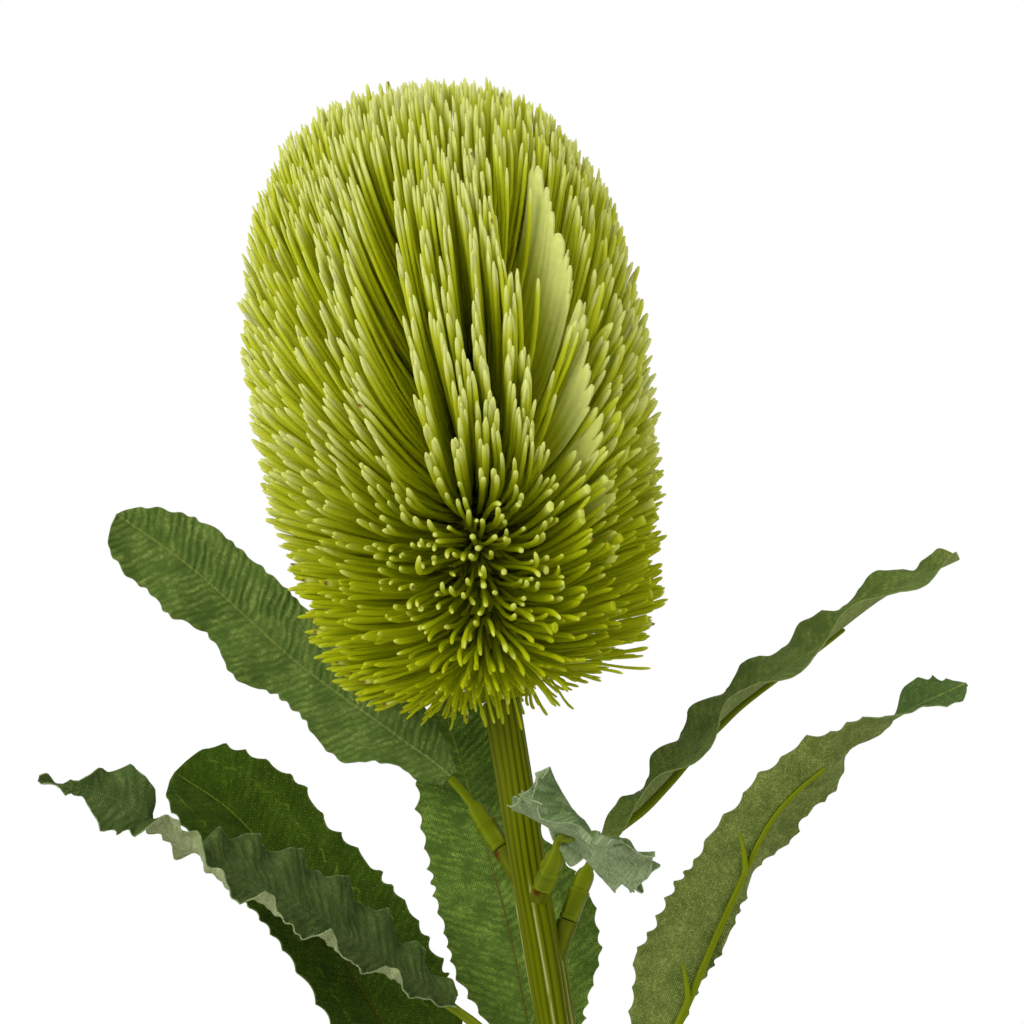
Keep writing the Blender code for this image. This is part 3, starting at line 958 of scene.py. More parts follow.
@dataclass(frozen=True)
class LeafFinish:
    """Printed polyester of a leaf: woven, with a printed midrib and veins.

    Attributes:
        rib_change: The shares of the blade where the midrib has the vein's colour, and the
            colour of its low end.
        rib_share: How strongly the midrib is printed.
        rib_place: How far the printed midrib lies beside the blade's middle, in millimetres.
        pleats: How deep the pressed folds are, in the bump and in the painted shade of their hollows.
    """

    name: str
    base: Colour = colour(66, 88, 36)
    dark: Colour = colour(34, 52, 16)
    dot: Colour = colour(112, 132, 70)
    vein: Colour = colour(160, 172, 84)
    under: Colour = colour(106, 120, 62)
    under_dark: Colour = colour(70, 84, 36)
    under_thread: Colour = colour(160, 172, 100)
    cut: Colour = colour(136, 150, 92)
    rib_low: Colour = colour(146, 122, 48)
    shade: Colour = colour(120, 128, 106)
    rib_change: Pair = (0.35, 0.12)
    rib_share: float = 0.85
    rib_place: float = 0.0
    pleats: float = 0.35
    thread_pitch: float = 0.48

    def material(self, face: ClothFace) -> Material:
        """The material of one face of the cloth.

        Args:
            face: The face. It reads the UV map cloth, in millimetres, and the stored
                values across and along, in shares.

        Returns:
            The material.
        """
        made, desk, shader = start_material(f"{self.name}_{face.value}")
        sheet = desk.add("ShaderNodeUVMap", uv_map="cloth").outputs[0]
        weave = SharedEffects.place(desk, "woven threads", Place=sheet, Pitch=self.thread_pitch,
                                    Slack=0.25)
        crosswise, run = list(desk.parts(sheet))[:2]
        across = desk.math("ABSOLUTE", desk.stored("across"))
        side_mm = desk.apart(crosswise, self.rib_place)
        slanted = desk.scaled(side_mm, -0.55, run)
        fine = desk.noise(sheet, 1.4, 3.0)
        ribs = desk.noise(desk.pair(slanted, desk.times(side_mm, 0.12)), 0.8, 3.0, 0.6)
        swing = desk.scaled(desk.noise(sheet, 0.25, 2.0), 9.0, desk.times(slanted, 3.0))
        deep = desk.span(desk.noise(sheet, 0.09, 1.0), 0.42, 0.62, 0.25)
        folded = desk.times(desk.times(desk.math("SINE", swing), deep), self.pleats)
        height = desk.scaled(ribs, 1.6, desk.times(weave["Height"], 0.55))
        at = ClothPlace(sheet, run, across, desk.stored("along"), side_mm, weave["Crowns"],
                        desk.noise(sheet, 0.18, 5.0, 0.65), fine, ribs, folded)
        if face is ClothFace.TOP:
            surface = self._top(desk, at)
        elif face is ClothFace.UNDERSIDE:
            surface = self._underside(desk, at)
        else:
            surface = desk.mix(desk.span(fine, 0.3, 0.55), self.cut, self.base)
        dark = self.under_dark if face is ClothFace.UNDERSIDE else self.dark
        tinted = desk.mix(desk.span(weave["Thread"], 0.0, 1.0, 0.0, 0.6), surface, dark)
        tinted = desk.mix(desk.span(fine, 0.42, 0.6, 0.0, 0.16), tinted, self.shade, "MULTIPLY")
        frayed = desk.times(desk.span(across, 0.97, 0.998), desk.span(fine, 0.4, 0.6, 0.1, 0.6))
        desk.feed(shader, Base_Color=desk.mix(frayed, tinted, self.cut),
                  Roughness=desk.span(weave["Height"], 0.0, 1.0, 0.85, 0.62),
                  Normal=desk.bump(desk.scaled(folded, 1.5, height), 0.9, 0.0003),
                  Sheen_Weight=0.01, Sheen_Roughness=0.5, Specular_IOR_Level=0.06)
        return made

    def _top(self, desk: NodeDesk, at: ClothPlace) -> Socket:
        """The print of the upper face: its ground, midrib and margin veins.

        Args:
            desk: The desk of the material's tree.
            at: What the print is laid out by.

        Returns:
            The colour.
        """
        ground = desk.mix(desk.span(at.cloudy, 0.38, 0.62), self.base, self.dark)
        # The ground darkens where the ribs stand high. Painted shade darkens the hollows of the folds, and a
        # painted shadow line lies on both sides of the midrib.
        for share in (desk.span(at.ribs, 0.35, 0.62, 0.0, 0.35), desk.span(at.folded, 0.15, -0.35, 0.0, 0.8),
                      desk.span(at.side_mm, 1.4, 0.3, 0.0, 0.4)):
            ground = desk.mix(share, ground, self.dark)
        dots = desk.times(at.crowns, desk.span(at.fine, 0.44, 0.64, 0.05, 0.75))
        thready = desk.mix(dots, ground, self.dot)
        zigzag = desk.scaled(desk.noise(at.sheet, 0.28, 2.0), 2.8, desk.math("PINGPONG", at.run, 2.1))
        line = desk.apart(at.across, desk.scaled(zigzag, 0.025, 0.52))
        margin = desk.times(desk.span(line, 0.03, 0.01),
                            desk.span(desk.noise(at.sheet, 0.3, 3.0), 0.45, 0.6, 0.0, 0.48))
        veined = desk.mix(margin, thready, self.vein)
        rib_colour = desk.mix(desk.span(at.along, *self.rib_change), self.vein, self.rib_low)
        return desk.mix(desk.times(desk.span(at.side_mm, 0.36, 0.16), self.rib_share), veined, rib_colour)

    def _underside(self, desk: NodeDesk, at: ClothPlace) -> Socket:
        """The print of the lower face: a paler ground with faint veins.

        Args:
            desk: The desk of the material's tree.
            at: What the print is laid out by.

        Returns:
            The colour.
        """
        ground = desk.mix(desk.span(at.cloudy, 0.34, 0.66), self.under, self.under_dark)
        threads = desk.times(at.crowns, desk.span(at.fine, 0.35, 0.65, 0.3))
        surface = desk.mix(threads, ground, self.under_thread)
        veins = desk.apart(desk.noise(at.sheet, 0.33, 3.0), 0.5)
        return desk.mix(desk.span(veins, 0.02, 0.004, 0.0, 0.5), surface, self.under_thread)


@dataclass(frozen=True)
class StonewareFinish:
    """Off-white glaze with iron specks over a bare, sandy foot."""

    glaze: Colour = colour(226, 220, 206)
    warm: Colour = colour(206, 194, 170)
    speck: Colour = colour(110, 84, 56)
    bare: Colour = colour(176, 148, 116)
    bare_below: float = 0.004
    edge_wander: float = 0.0016

    def material(self) -> Material:
        """Glazes by Object coordinates, down to the bare foot.

        Returns:
            The material.
        """
        made, desk, shader = start_material("vase_stoneware_finish")
        place = desk.object_place()
        cloudy = desk.noise(place, 22.0, 4.0)
        breaks = desk.span(desk.noise(place, 60.0, 3.0), 0.45, 0.62, 0.0, 0.35)
        ground = desk.mix(desk.span(cloudy, 0.35, 0.7), self.glaze, self.warm)
        ground = desk.mix(breaks, ground, self.glaze)
        cells = desk.cells(place, 330.0)
        size = desk.feed(desk.add("ShaderNodeSeparateColor"), Color=cells.outputs["Color"]).outputs
        inside = desk.math("SUBTRACT", desk.span(size[0], 0.72, 1.0, 0.0, 0.34), cells.outputs["Distance"])
        specks = desk.times(desk.span(inside, 0.0, 0.06), desk.span(size[1], 0.2, 1.0, 0.3, 0.85))
        dotted = desk.mix(specks, ground, self.speck)
        edge = desk.scaled(cloudy, self.edge_wander, self.bare_below - self.edge_wander / 2)
        bare = desk.math("LESS_THAN", desk.parts(place)[2], edge)
        sand = desk.noise(place, 900.0, 4.0)
        clay = desk.mix(desk.span(sand, 0.3, 0.7), self.bare, self.speck)
        relief = desk.scaled(desk.times(sand, bare), 0.5, desk.times(cloudy, 0.5))
        desk.feed(shader, Base_Color=desk.mix(bare, dotted, desk.mix(0.25, self.bare, clay)),
                  Roughness=desk.scaled(bare, 0.55, desk.span(cloudy, 0.3, 0.7, 0.2, 0.34)),
                  Normal=desk.bump(relief, 0.25, 0.0006))
        return made


@dataclass(frozen=True)
class WireFinish:
    """Drawn steel wire, a little dull along its length."""

    steel: Colour = colour(150, 150, 148)
    dull: Colour = colour(98, 94, 88)

    def material(self) -> Material:
        """Draws the steel out by Object coordinates.

        Returns:
            The material.
        """
        made, desk, shader = start_material("wire_steel_finish")
        stretched = desk.add("ShaderNodeMapping")
        desk.feed(stretched, Vector=desk.object_place(), Scale=(900.0, 900.0, 12.0))
        drawn = desk.noise(stretched.outputs[0], 1.0, 3.0)
        desk.feed(shader, Base_Color=desk.mix(desk.span(drawn, 0.35, 0.7), self.steel, self.dull),
                  Roughness=desk.span(drawn, 0.3, 0.7, 0.3, 0.5),
                  Normal=desk.bump(drawn, 0.2, 0.0001), Metallic=1.0)
        return made


@dataclass(frozen=True)
class CoreFinish:
    """Yellow-green foamed plastic of the head's core."""

    skin: Colour = colour(150, 160, 0)
    pore: Colour = colour(116, 124, 0)

    def material(self) -> Material:
        """Foams the plastic by Object coordinates.

        Returns:
            The material.
        """
        made, desk, shader = start_material("core_plastic_finish")
        place = desk.object_place()
        pores = desk.span(desk.cells(place, 1100.0).outputs["Distance"], 0.15, 0.55)
        clouds = desk.noise(place, 160.0, 3.0)
        ground = desk.mix(pores, self.pore, self.skin)
        desk.feed(shader, Base_Color=desk.mix(desk.span(clouds, 0.4, 0.7, 0.0, 0.4), ground, self.pore),
                  Roughness=desk.span(clouds, 0.3, 0.7, 0.55, 0.75),
                  Normal=desk.bump(pores, 0.5, 0.0003), Specular_IOR_Level=0.08)
        return made


# Vase -----------------------------------------------------------------------------

@dataclass
class Vase:
    """A wheel-thrown bottle vase, glazed down to its foot."""

    sides: int = 128
    mouth: float = 0.0125
    neck_foot: float = 0.166
    floor: float = 0.006
    floor_radius: float = 0.029
    wall: float = 0.0042
    ring_pitch: float = 0.0042
    ring_depth: float = 0.00016
    body: tuple[Pair, ...] = ((0.0158, 0.188), (0.0160, 0.168), (0.0235, 0.149), (0.0380, 0.123),
                              (0.0475, 0.090), (0.0490, 0.062), (0.0455, 0.032), (0.0395, 0.006))
    lip: tuple[Pair, ...] = ((0.0125, 0.1962), (0.01262, 0.1972), (0.0129, 0.1984), (0.0133, 0.1992),
                             (0.0140, 0.1998), (0.0148, 0.2000), (0.0160, 0.2000), (0.0170, 0.1996),
                             (0.0177, 0.1989), (0.0180, 0.1980), (0.0179, 0.1968), (0.0175, 0.1955),
                             (0.0168, 0.1935), (0.0161, 0.1910))
    foot: tuple[Pair, ...] = ((0.0391, 0.0030), (0.0384, 0.0012), (0.0379, 0.0004), (0.0371, 0.0),
                              (0.0330, 0.0), (0.0322, 0.0004), (0.0312, 0.0012), (0.0290, 0.0014))

    def outline(self) -> list[Pair]:
        """The section from under the foot, up the outside, over the lip and down inside.

        Returns:
            The radius and the height of each ring.
        """
        outside = smooth_line(self.body, 90)
        steps = unit(np.gradient(outside, axis=0))
        inward = np.stack([steps[:, 1], -steps[:, 0]], axis=1)
        inside = outside + inward * self.wall
        waves = np.sin(outside[:, 1] / self.ring_pitch * 2 * math.pi)
        calm = ease(outside[:, 1], 0.008, 0.02) * fall(outside[:, 1], 0.15, 0.175)
        outside = outside - inward * (waves * calm * self.ring_depth)[:, None]
        section = [tuple(p) for part in (self.foot, outside, self.lip) for p in reversed(part)]
        section += [(self.mouth, self.neck_foot)]
        section += [tuple(p) for p in inside if p[0] > self.mouth and p[1] > 2 * self.floor][::3]
        section += [(self.floor_radius + 0.004, self.floor + 0.0015), (self.floor_radius, self.floor)]
        return section

    def build(self) -> Piece:
        """Turns, smooths and glazes the vase.

        Returns:
            The vase.
        """
        piece = turned("vase_thrown", self.sides, self.outline())
        smooth_by_angle(piece, 50)
        piece.data.materials.append(StonewareFinish().material())
        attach(piece, BODY)
        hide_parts("vase")
        return piece


# Leaves ---------------------------------------------------------------------------

class Margin(Enum):
    """How a leaf's edge is cut."""

    CUSPED = "cusped"
    ROUNDED = "rounded"


@dataclass(frozen=True)
class Curl:
    """A stretch of one margin that rolls over."""

    half: int
    centre: float
    spread: float
    angle: float
    inner: float = 0.6


# Over how many millimetres a blade's tip is rounded off.
TIP_ROUNDING = 3.2

# Below one, the strips of the cloth are a little narrower towards the margin.
STRIP_CROWDING = 0.9

# Distance along the spine and radius of the sleeve that slips over the stem's nub, in millimetres.
SLEEVE = ((0.0, 2.2), (0.25, 2.5), (1.0, 2.58), (1.35, 2.3), (1.7, 2.42), (3.5, 2.5), (6.5, 2.42),
          (6.8, 2.74), (7.6, 2.72), (7.9, 2.28), (9.6, 2.36), (11.4, 2.26), (12.5, 1.9), (13.1, 1.45),
          (13.6, 1.25))

# Radius of a spur and distance along it, in metres.
SPUR = ((0.0008, 0.0), (0.00075, 0.002), (0.00062, 0.005), (0.00045, 0.009), (0.0002, 0.0113))

# How many points of the midrib the spine follows, and how many keels its sleeve has.
SPINE_POINTS = 18
KEELS = 5

# The stem's radius at its top, and what keeps a sleeve clear of it.
STEM_TOP_RADIUS = 0.0044
SLEEVE_RADIUS = 0.0029
NUB_CLEARANCE = 0.0006


@dataclass
class Leaf:
    """One leaf: a cloth blade on a moulded spine.

    Millimetres in route and the widths; shares of the blade's length in all the tables.

    Attributes:
        name: The leaf's name in the frame.
        joint: The height of its joint on the stem's axis, in metres.
        route: The sleeve's end, the blade's base and the midrib's points up to the tip.
        first: Half widths on the first side.
        second: Half widths on the second side, or nothing where they are the same.
        sides: The direction of the blade's first half.
        folds: Degrees by which each half rises from flat at the midrib.
        spined: The share of the blade that the spine runs along.
        spurs: Where short side ribs leave the spine below the blade.
        teeth: Pitch and depth of the teeth.
        margin: How the teeth are cut.
        ripple: Pitch and height of the waves at the margin.
        second_ripple: The same for the second side, or zeros where they are the same.
        curls: Margins that roll over.
        creases: Pitch and height of the fine creases across the cloth.
        seed: For the irregular parts.
        finish: The cloth's print.
        columns: How many strips each half of the cloth has from the midrib to the margin.
        row_pitch: The length of the cloth's rows, in millimetres.
        thickness: The cloth's thickness, in metres.
        seat: How far the cloth's underside stands above the spine.
        petiole: The spine's radius at the blade's base.
        spine_end: The spine's radius at its end.
    """

    name: str
    joint: float
    route: tuple[Triple, ...]
    first: tuple[Pair, ...]
    sides: tuple[tuple[float, Triple], ...]
    folds: Pair
    second: tuple[Pair, ...] = ()
    spined: float = 0.72
    spurs: tuple[float, ...] = ()
    teeth: Pair = (6.0, 1.5)
    margin: Margin = Margin.CUSPED
    ripple: Pair = (17.0, 1.0)
    second_ripple: Pair = (0.0, 0.0)
    curls: tuple[Curl, ...] = ()
    creases: Pair = (2.7, 0.0)
    seed: int = 1
    finish: LeafFinish = LeafFinish("leaf_print")
    columns: int = 22
    row_pitch: float = 0.62
    thickness: float = 0.00034
    seat: float = -0.0001
    petiole: float = 0.00115
    spine_end: float = 0.0005

    def midrib(self, count: int) -> tuple[Array, Array]:
        """Points and tangents of the midrib, from the blade's base to its tip.

        Args:
            count: How many points to return.

        Returns:
            The points and the tangents, in metres.
        """
        whole = smooth_line(np.array(self.route, float) * MM, 400)
        base = np.array(self.route[1]) * MM
        start = int(np.argmin(np.linalg.norm(whole - base, axis=1)))
        line = evenly(whole[start:], count)
        return line, unit(np.gradient(line, axis=0))

    def spine_radius(self, share: Array) -> Array:
        """The spine's radius at shares of the blade's length."""
        return self.petiole + (self.spine_end - self.petiole) * np.minimum(1.0, share / self.spined)

    def half_width(self, share: Array, half: int, length: float) -> Array:
        """Half widths with the teeth cut in them.

        Args:
            share: Shares of the blade's length.
            half: 0 for the first side and 1 for the second.
            length: The blade's length in millimetres.

        Returns:
            Millimetres from the midrib to the margin.
        """
        table = self.second if half and self.second else self.first
        smooth = np.interp(share, *zip(*table))
        drift = Drift(self.seed * 7 + half)
        pitch, depth = self.teeth
        # The teeth's pitch and size wander, and they fade out at the base and at the tip.
        run = share * length / pitch + 0.35 * half + 0.55 * drift(share * length / (2.2 * pitch))
        if self.margin is Margin.CUSPED:
            shape = 1 - np.abs(np.sin(math.pi * run)) ** 0.85
        else:
            shape = 0.5 + 0.5 * np.cos(2 * math.pi * run)
        size = depth * (0.75 + 0.45 * drift(share * length / (1.4 * pitch), 3.0))
        calm = ease(share, 0.02, 0.14) * fall(share, 0.965, 1.0)
        rounding = TIP_ROUNDING / length
        past = ((share - (1 - rounding)) / rounding).clip(0)
        ends = np.sqrt(np.clip(1 - past ** 2, 0.0006, 1))
        return (smooth + size * calm * (shape - 0.4)) * ends

    def side_directions(self, shares: Array, tangents: Array) -> Array:
        """The direction of the first half at each share, square to the midrib.

        Args:
            shares: Shares of the blade's length.
            tangents: The midrib's direction at each.

        Returns:
            One direction for each share.
        """
        stations = [share for share, _ in self.sides]
        chosen = np.array([side for _, side in self.sides], float)
        side = np.stack([np.interp(shares, stations, column) for column in chosen.T], axis=1)
        return unit(side - (side * tangents).sum(axis=1)[:, None] * tangents)

    def half_section(self, half: int, shares: Array, steps: Array, reach: Array,
                     length: float) -> tuple[Array, Array]:
        """The folded, rolled and rippled section of one half.

        Args:
            half: 0 for the first side and 1 for the second.
            shares: Shares of the blade's length.
            steps: Shares of the way to the margin.
            reach: The half width at each share, in millimetres.
            length: The blade's length in millimetres.

        Returns:
            How far out and how far up each corner stands from the midrib, in millimetres.
        """
        angle = np.radians(np.full((len(shares), len(steps)), float(self.folds[half])))
        for curl in self.curls:
            if curl.half == half:
                stretch = hill(shares, curl.centre, curl.spread)[:, None]
                angle += math.radians(curl.angle) * stretch * ease(steps, curl.inner, 1.0)[None, :]
        middle = (angle[:, 1:] + angle[:, :-1]) / 2
        strips = np.diff(steps)[None, :] * reach[:, None]
        ripples = self.waves(shares[:, None] * length, steps[None, :], half)
        return running_sums(np.cos(middle) * strips), running_sums(np.sin(middle) * strips) + ripples

    def blade(self, materials: Sequence[Material]) -> Piece:
        """Args:
            materials: The materials of the top, the underside and the cut edge.

        Returns:
            The blade.
        """
        line, _ = self.midrib(400)
        length = float(step_lengths(line).sum()) / MM
        rows = max(60, round(length / self.row_pitch))
        line, tangents = self.midrib(rows + 1)
        shares = np.linspace(0, 1, rows + 1)
        clear_selection()
        bpy.ops.mesh.primitive_grid_add(x_subdivisions=2 * self.columns, y_subdivisions=rows, size=2.0)
        piece = bpy.context.object
        piece.name = piece.data.name = f"leaf_{self.name}_cloth"
        flat = corner_array(piece)
        row = np.rint((flat[:, 1] + 1) / 2 * rows).astype(int)
        column = np.rint(flat[:, 0] * self.columns).astype(int)
        side = self.side_directions(shares, tangents)
        up = np.cross(side, tangents)
        steps = (np.arange(self.columns + 1) / self.columns) ** STRIP_CROWDING
        lifts = self.spine_radius(shares) / MM + (self.seat + self.thickness / 2) / MM
        places = np.zeros_like(flat)
        sheet_place = np.zeros((len(flat), 2))
        for half, sign in ((0, 1), (1, -1)):
            reach = self.half_width(shares, half, length)
            out, rise = self.half_section(half, shares, steps, reach, length)
            mine = (column * sign >= 0)
            r, c = row[mine], np.abs(column[mine])
            places[mine] = (line[r] + side[r] * (sign * out[r, c] * MM)[:, None]
                            + up[r] * ((lifts[r] + rise[r, c]) * MM)[:, None])
            sheet_place[mine] = np.stack([sign * steps[c] * reach[r], shares[r] * length], axis=1)
        set_corners(piece, places)
        add_values(piece.data, across=flat[:, 0], along=shares[row])
        uv = piece.data.uv_layers.active or piece.data.uv_layers.new()
        uv.name = "cloth"
        corners = np.zeros(len(piece.data.loops), int)
        piece.data.loops.foreach_get("vertex_index", corners)
        uv.data.foreach_set("uv", sheet_place[corners].astype(np.float32).ravel())
        for material in materials:
            piece.data.materials.append(material)
        stiffened = piece.modifiers.new("thickness", "SOLIDIFY")
        stiffened.thickness = self.thickness
        stiffened.offset = 0.0
        stiffened.material_offset = 1
        stiffened.material_offset_rim = 2
        apply_all(piece)
        smooth_by_angle(piece, 60)
        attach(piece, BODY)
        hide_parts(f"leaf_{self.name}_blade")
        return piece

    def waves(self, run: Array, steps: Array, half: int) -> Array:
        """The ripples of the cloth, in millimetres above the plain shape.

        Args:
            run: Millimetres along the blade.
            steps: Shares of the way to the margin.
            half: 0 for the first side and 1 for the second.

        Returns:
            Millimetres.
        """
        pitch, height = self.second_ripple if half and self.second_ripple[0] else self.ripple
        drift = Drift(self.seed * 13 + half)
        # Broad waves at the margin carry smaller ones, over a fine unevenness and the creases.
        phase = 2 * math.pi * run / pitch + 2.2 * drift(run / (2.5 * pitch))
        big = height * steps ** 1.7 * np.sin(phase)
        small = 0.22 * steps ** 2.5 * np.sin(2.7 * phase + 1.3)
        fine = 0.10 * np.minimum(1, 4 * steps) * Drift(self.seed * 17 + half)(run / 2.2, steps * 2.0)
        pitch, height = self.creases
        fine += height * np.minimum(1, 3 * steps) * np.sin(
            2 * math.pi * (run - 5 * steps) / pitch + 1.5 * Drift(self.seed + 3)(run / 14, steps))
        return big + small * min(1.0, self.ripple[1]) + fine

    def joint_frame(self) -> Matrix:
        """The frame of the leaf's joint: on the stem's axis, +Z towards the sleeve's end."""
        root = AXIS.place(self.joint)
        return frame_at(root, Vector(self.route[0]) * MM - root)

    def nub_reach(self) -> float:
        """How far the stem's nub runs from the axis before the sleeve starts.

        Returns:
            Metres.
        """
        outward = self.joint_frame().to_3x3().col[2]
        slant = outward.angle(Vector((-AXIS.lean, 0, 1)))
        clear = STEM_TOP_RADIUS + SLEEVE_RADIUS * math.cos(slant) + NUB_CLEARANCE
        return clear / math.sin(slant)

    def spine(self, material: Material) -> Piece:
        """Moulds the sleeve, the petiole and the rib below the blade, in one piece.

        Args:
            material: The spine's finish.

        Returns:
            The spine.
        """
        joint, reach = self.joint_frame(), self.nub_reach()
        straight = [joint @ Vector((0, 0, reach + 0.0003 + d)) for d in (0, 0.0037, 0.0073, 0.0108)]
        line, _ = self.midrib(SPINE_POINTS)
        rib = line[:round(self.spined * SPINE_POINTS)]
        route = Route(smooth_line([*straight, *map(Vector, rib)], 300))
        total = route.length
        blade_start = float(step_lengths(smooth_line([*straight, Vector(rib[0])], 60)).sum())
        outline = [(radius * MM, distance * MM) for distance, radius in SLEEVE]
        for distance in np.linspace(outline[-1][1] + 0.003, total - 0.0004, 44):
            share = max(0.0, distance - blade_start) / (total - blade_start) * self.spined
            outline.append((float(self.spine_radius(np.array(share))), float(distance)))
        outline.append((0.0003, total))
        piece = turned(f"leaf_{self.name}_rib", 14, outline)
        flat = corner_array(piece)
        height = flat[:, 2]
        angle, radius = polar(flat)
        place, across, other = route.at(height / total)
        wobble = 1 + 0.07 * Drift(self.seed * 3)(height / 0.0026, np.cos(angle) * 1.2)
        on_sleeve = fall(height, 0.0100, 0.0135)
        keel = 1 + 0.07 * np.cos(KEELS * angle) * on_sleeve
        out = radius * wobble * keel
        set_corners(piece, place + across * (np.cos(angle) * out)[:, None]
                    + other * (np.sin(angle) * out)[:, None])
        mesh = piece.data
        # The darker valley colour between the sleeve's keels is painted shade. Past the sleeve it runs on as
        # plain stripes.
        add_values(mesh, ridge=0.5 + 0.3 * np.cos(KEELS * angle), stain=np.zeros(len(flat)),
                   flash=on_sleeve * 0.25 * (np.abs(np.sin(KEELS / 2 * angle)) > 0.97),
                   grain=round_places(angle, height / 0.02) + self.seed * 5.0)
        if self.spurs:
            join_to(piece, [self.spur(share) for share in self.spurs])
        smooth_by_angle(piece, 50)
        mesh.materials.append(material)
        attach(piece, BODY)
        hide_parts(f"leaf_{self.name}_spine")
        return piece

    def spur(self, share: float) -> Piece:
        """A short pointed side rib that leaves the spine and lies along the blade's underside.

        Args:
            share: Where on the blade it starts.

        Returns:
            The spur, to be joined to the spine.
        """
        line, tangents = self.midrib(101)
        at = round(share * 100)
        chosen = Vector(self.sides[0][1]).normalized()
        forward = Vector(tangents[at])
        start = Vector(line[at])
        lift = chosen.cross(forward).normalized() * -0.0009
        run = [start] + [start + forward * ahead + chosen * aside + lift * times for ahead, aside, times
                         in ((0.0022, 0.0010, 1), (0.0056, 0.0034, 1), (0.0092, 0.0066, 2))]
        route = Route(smooth_line(run, 60))
        piece = turned(f"spur_{self.name}", 10, SPUR)
        flat = corner_array(piece)
        place, across, other = route.at(np.clip(flat[:, 2] / route.length, 0, 1))
        set_corners(piece, place + across * flat[:, 0:1] + other * flat[:, 1:2])
        blank = np.zeros(len(flat))
        add_values(piece.data, ridge=blank + 0.7, flash=blank, stain=blank,
                   grain=flat * np.array([900, 900, 50]))
        return piece


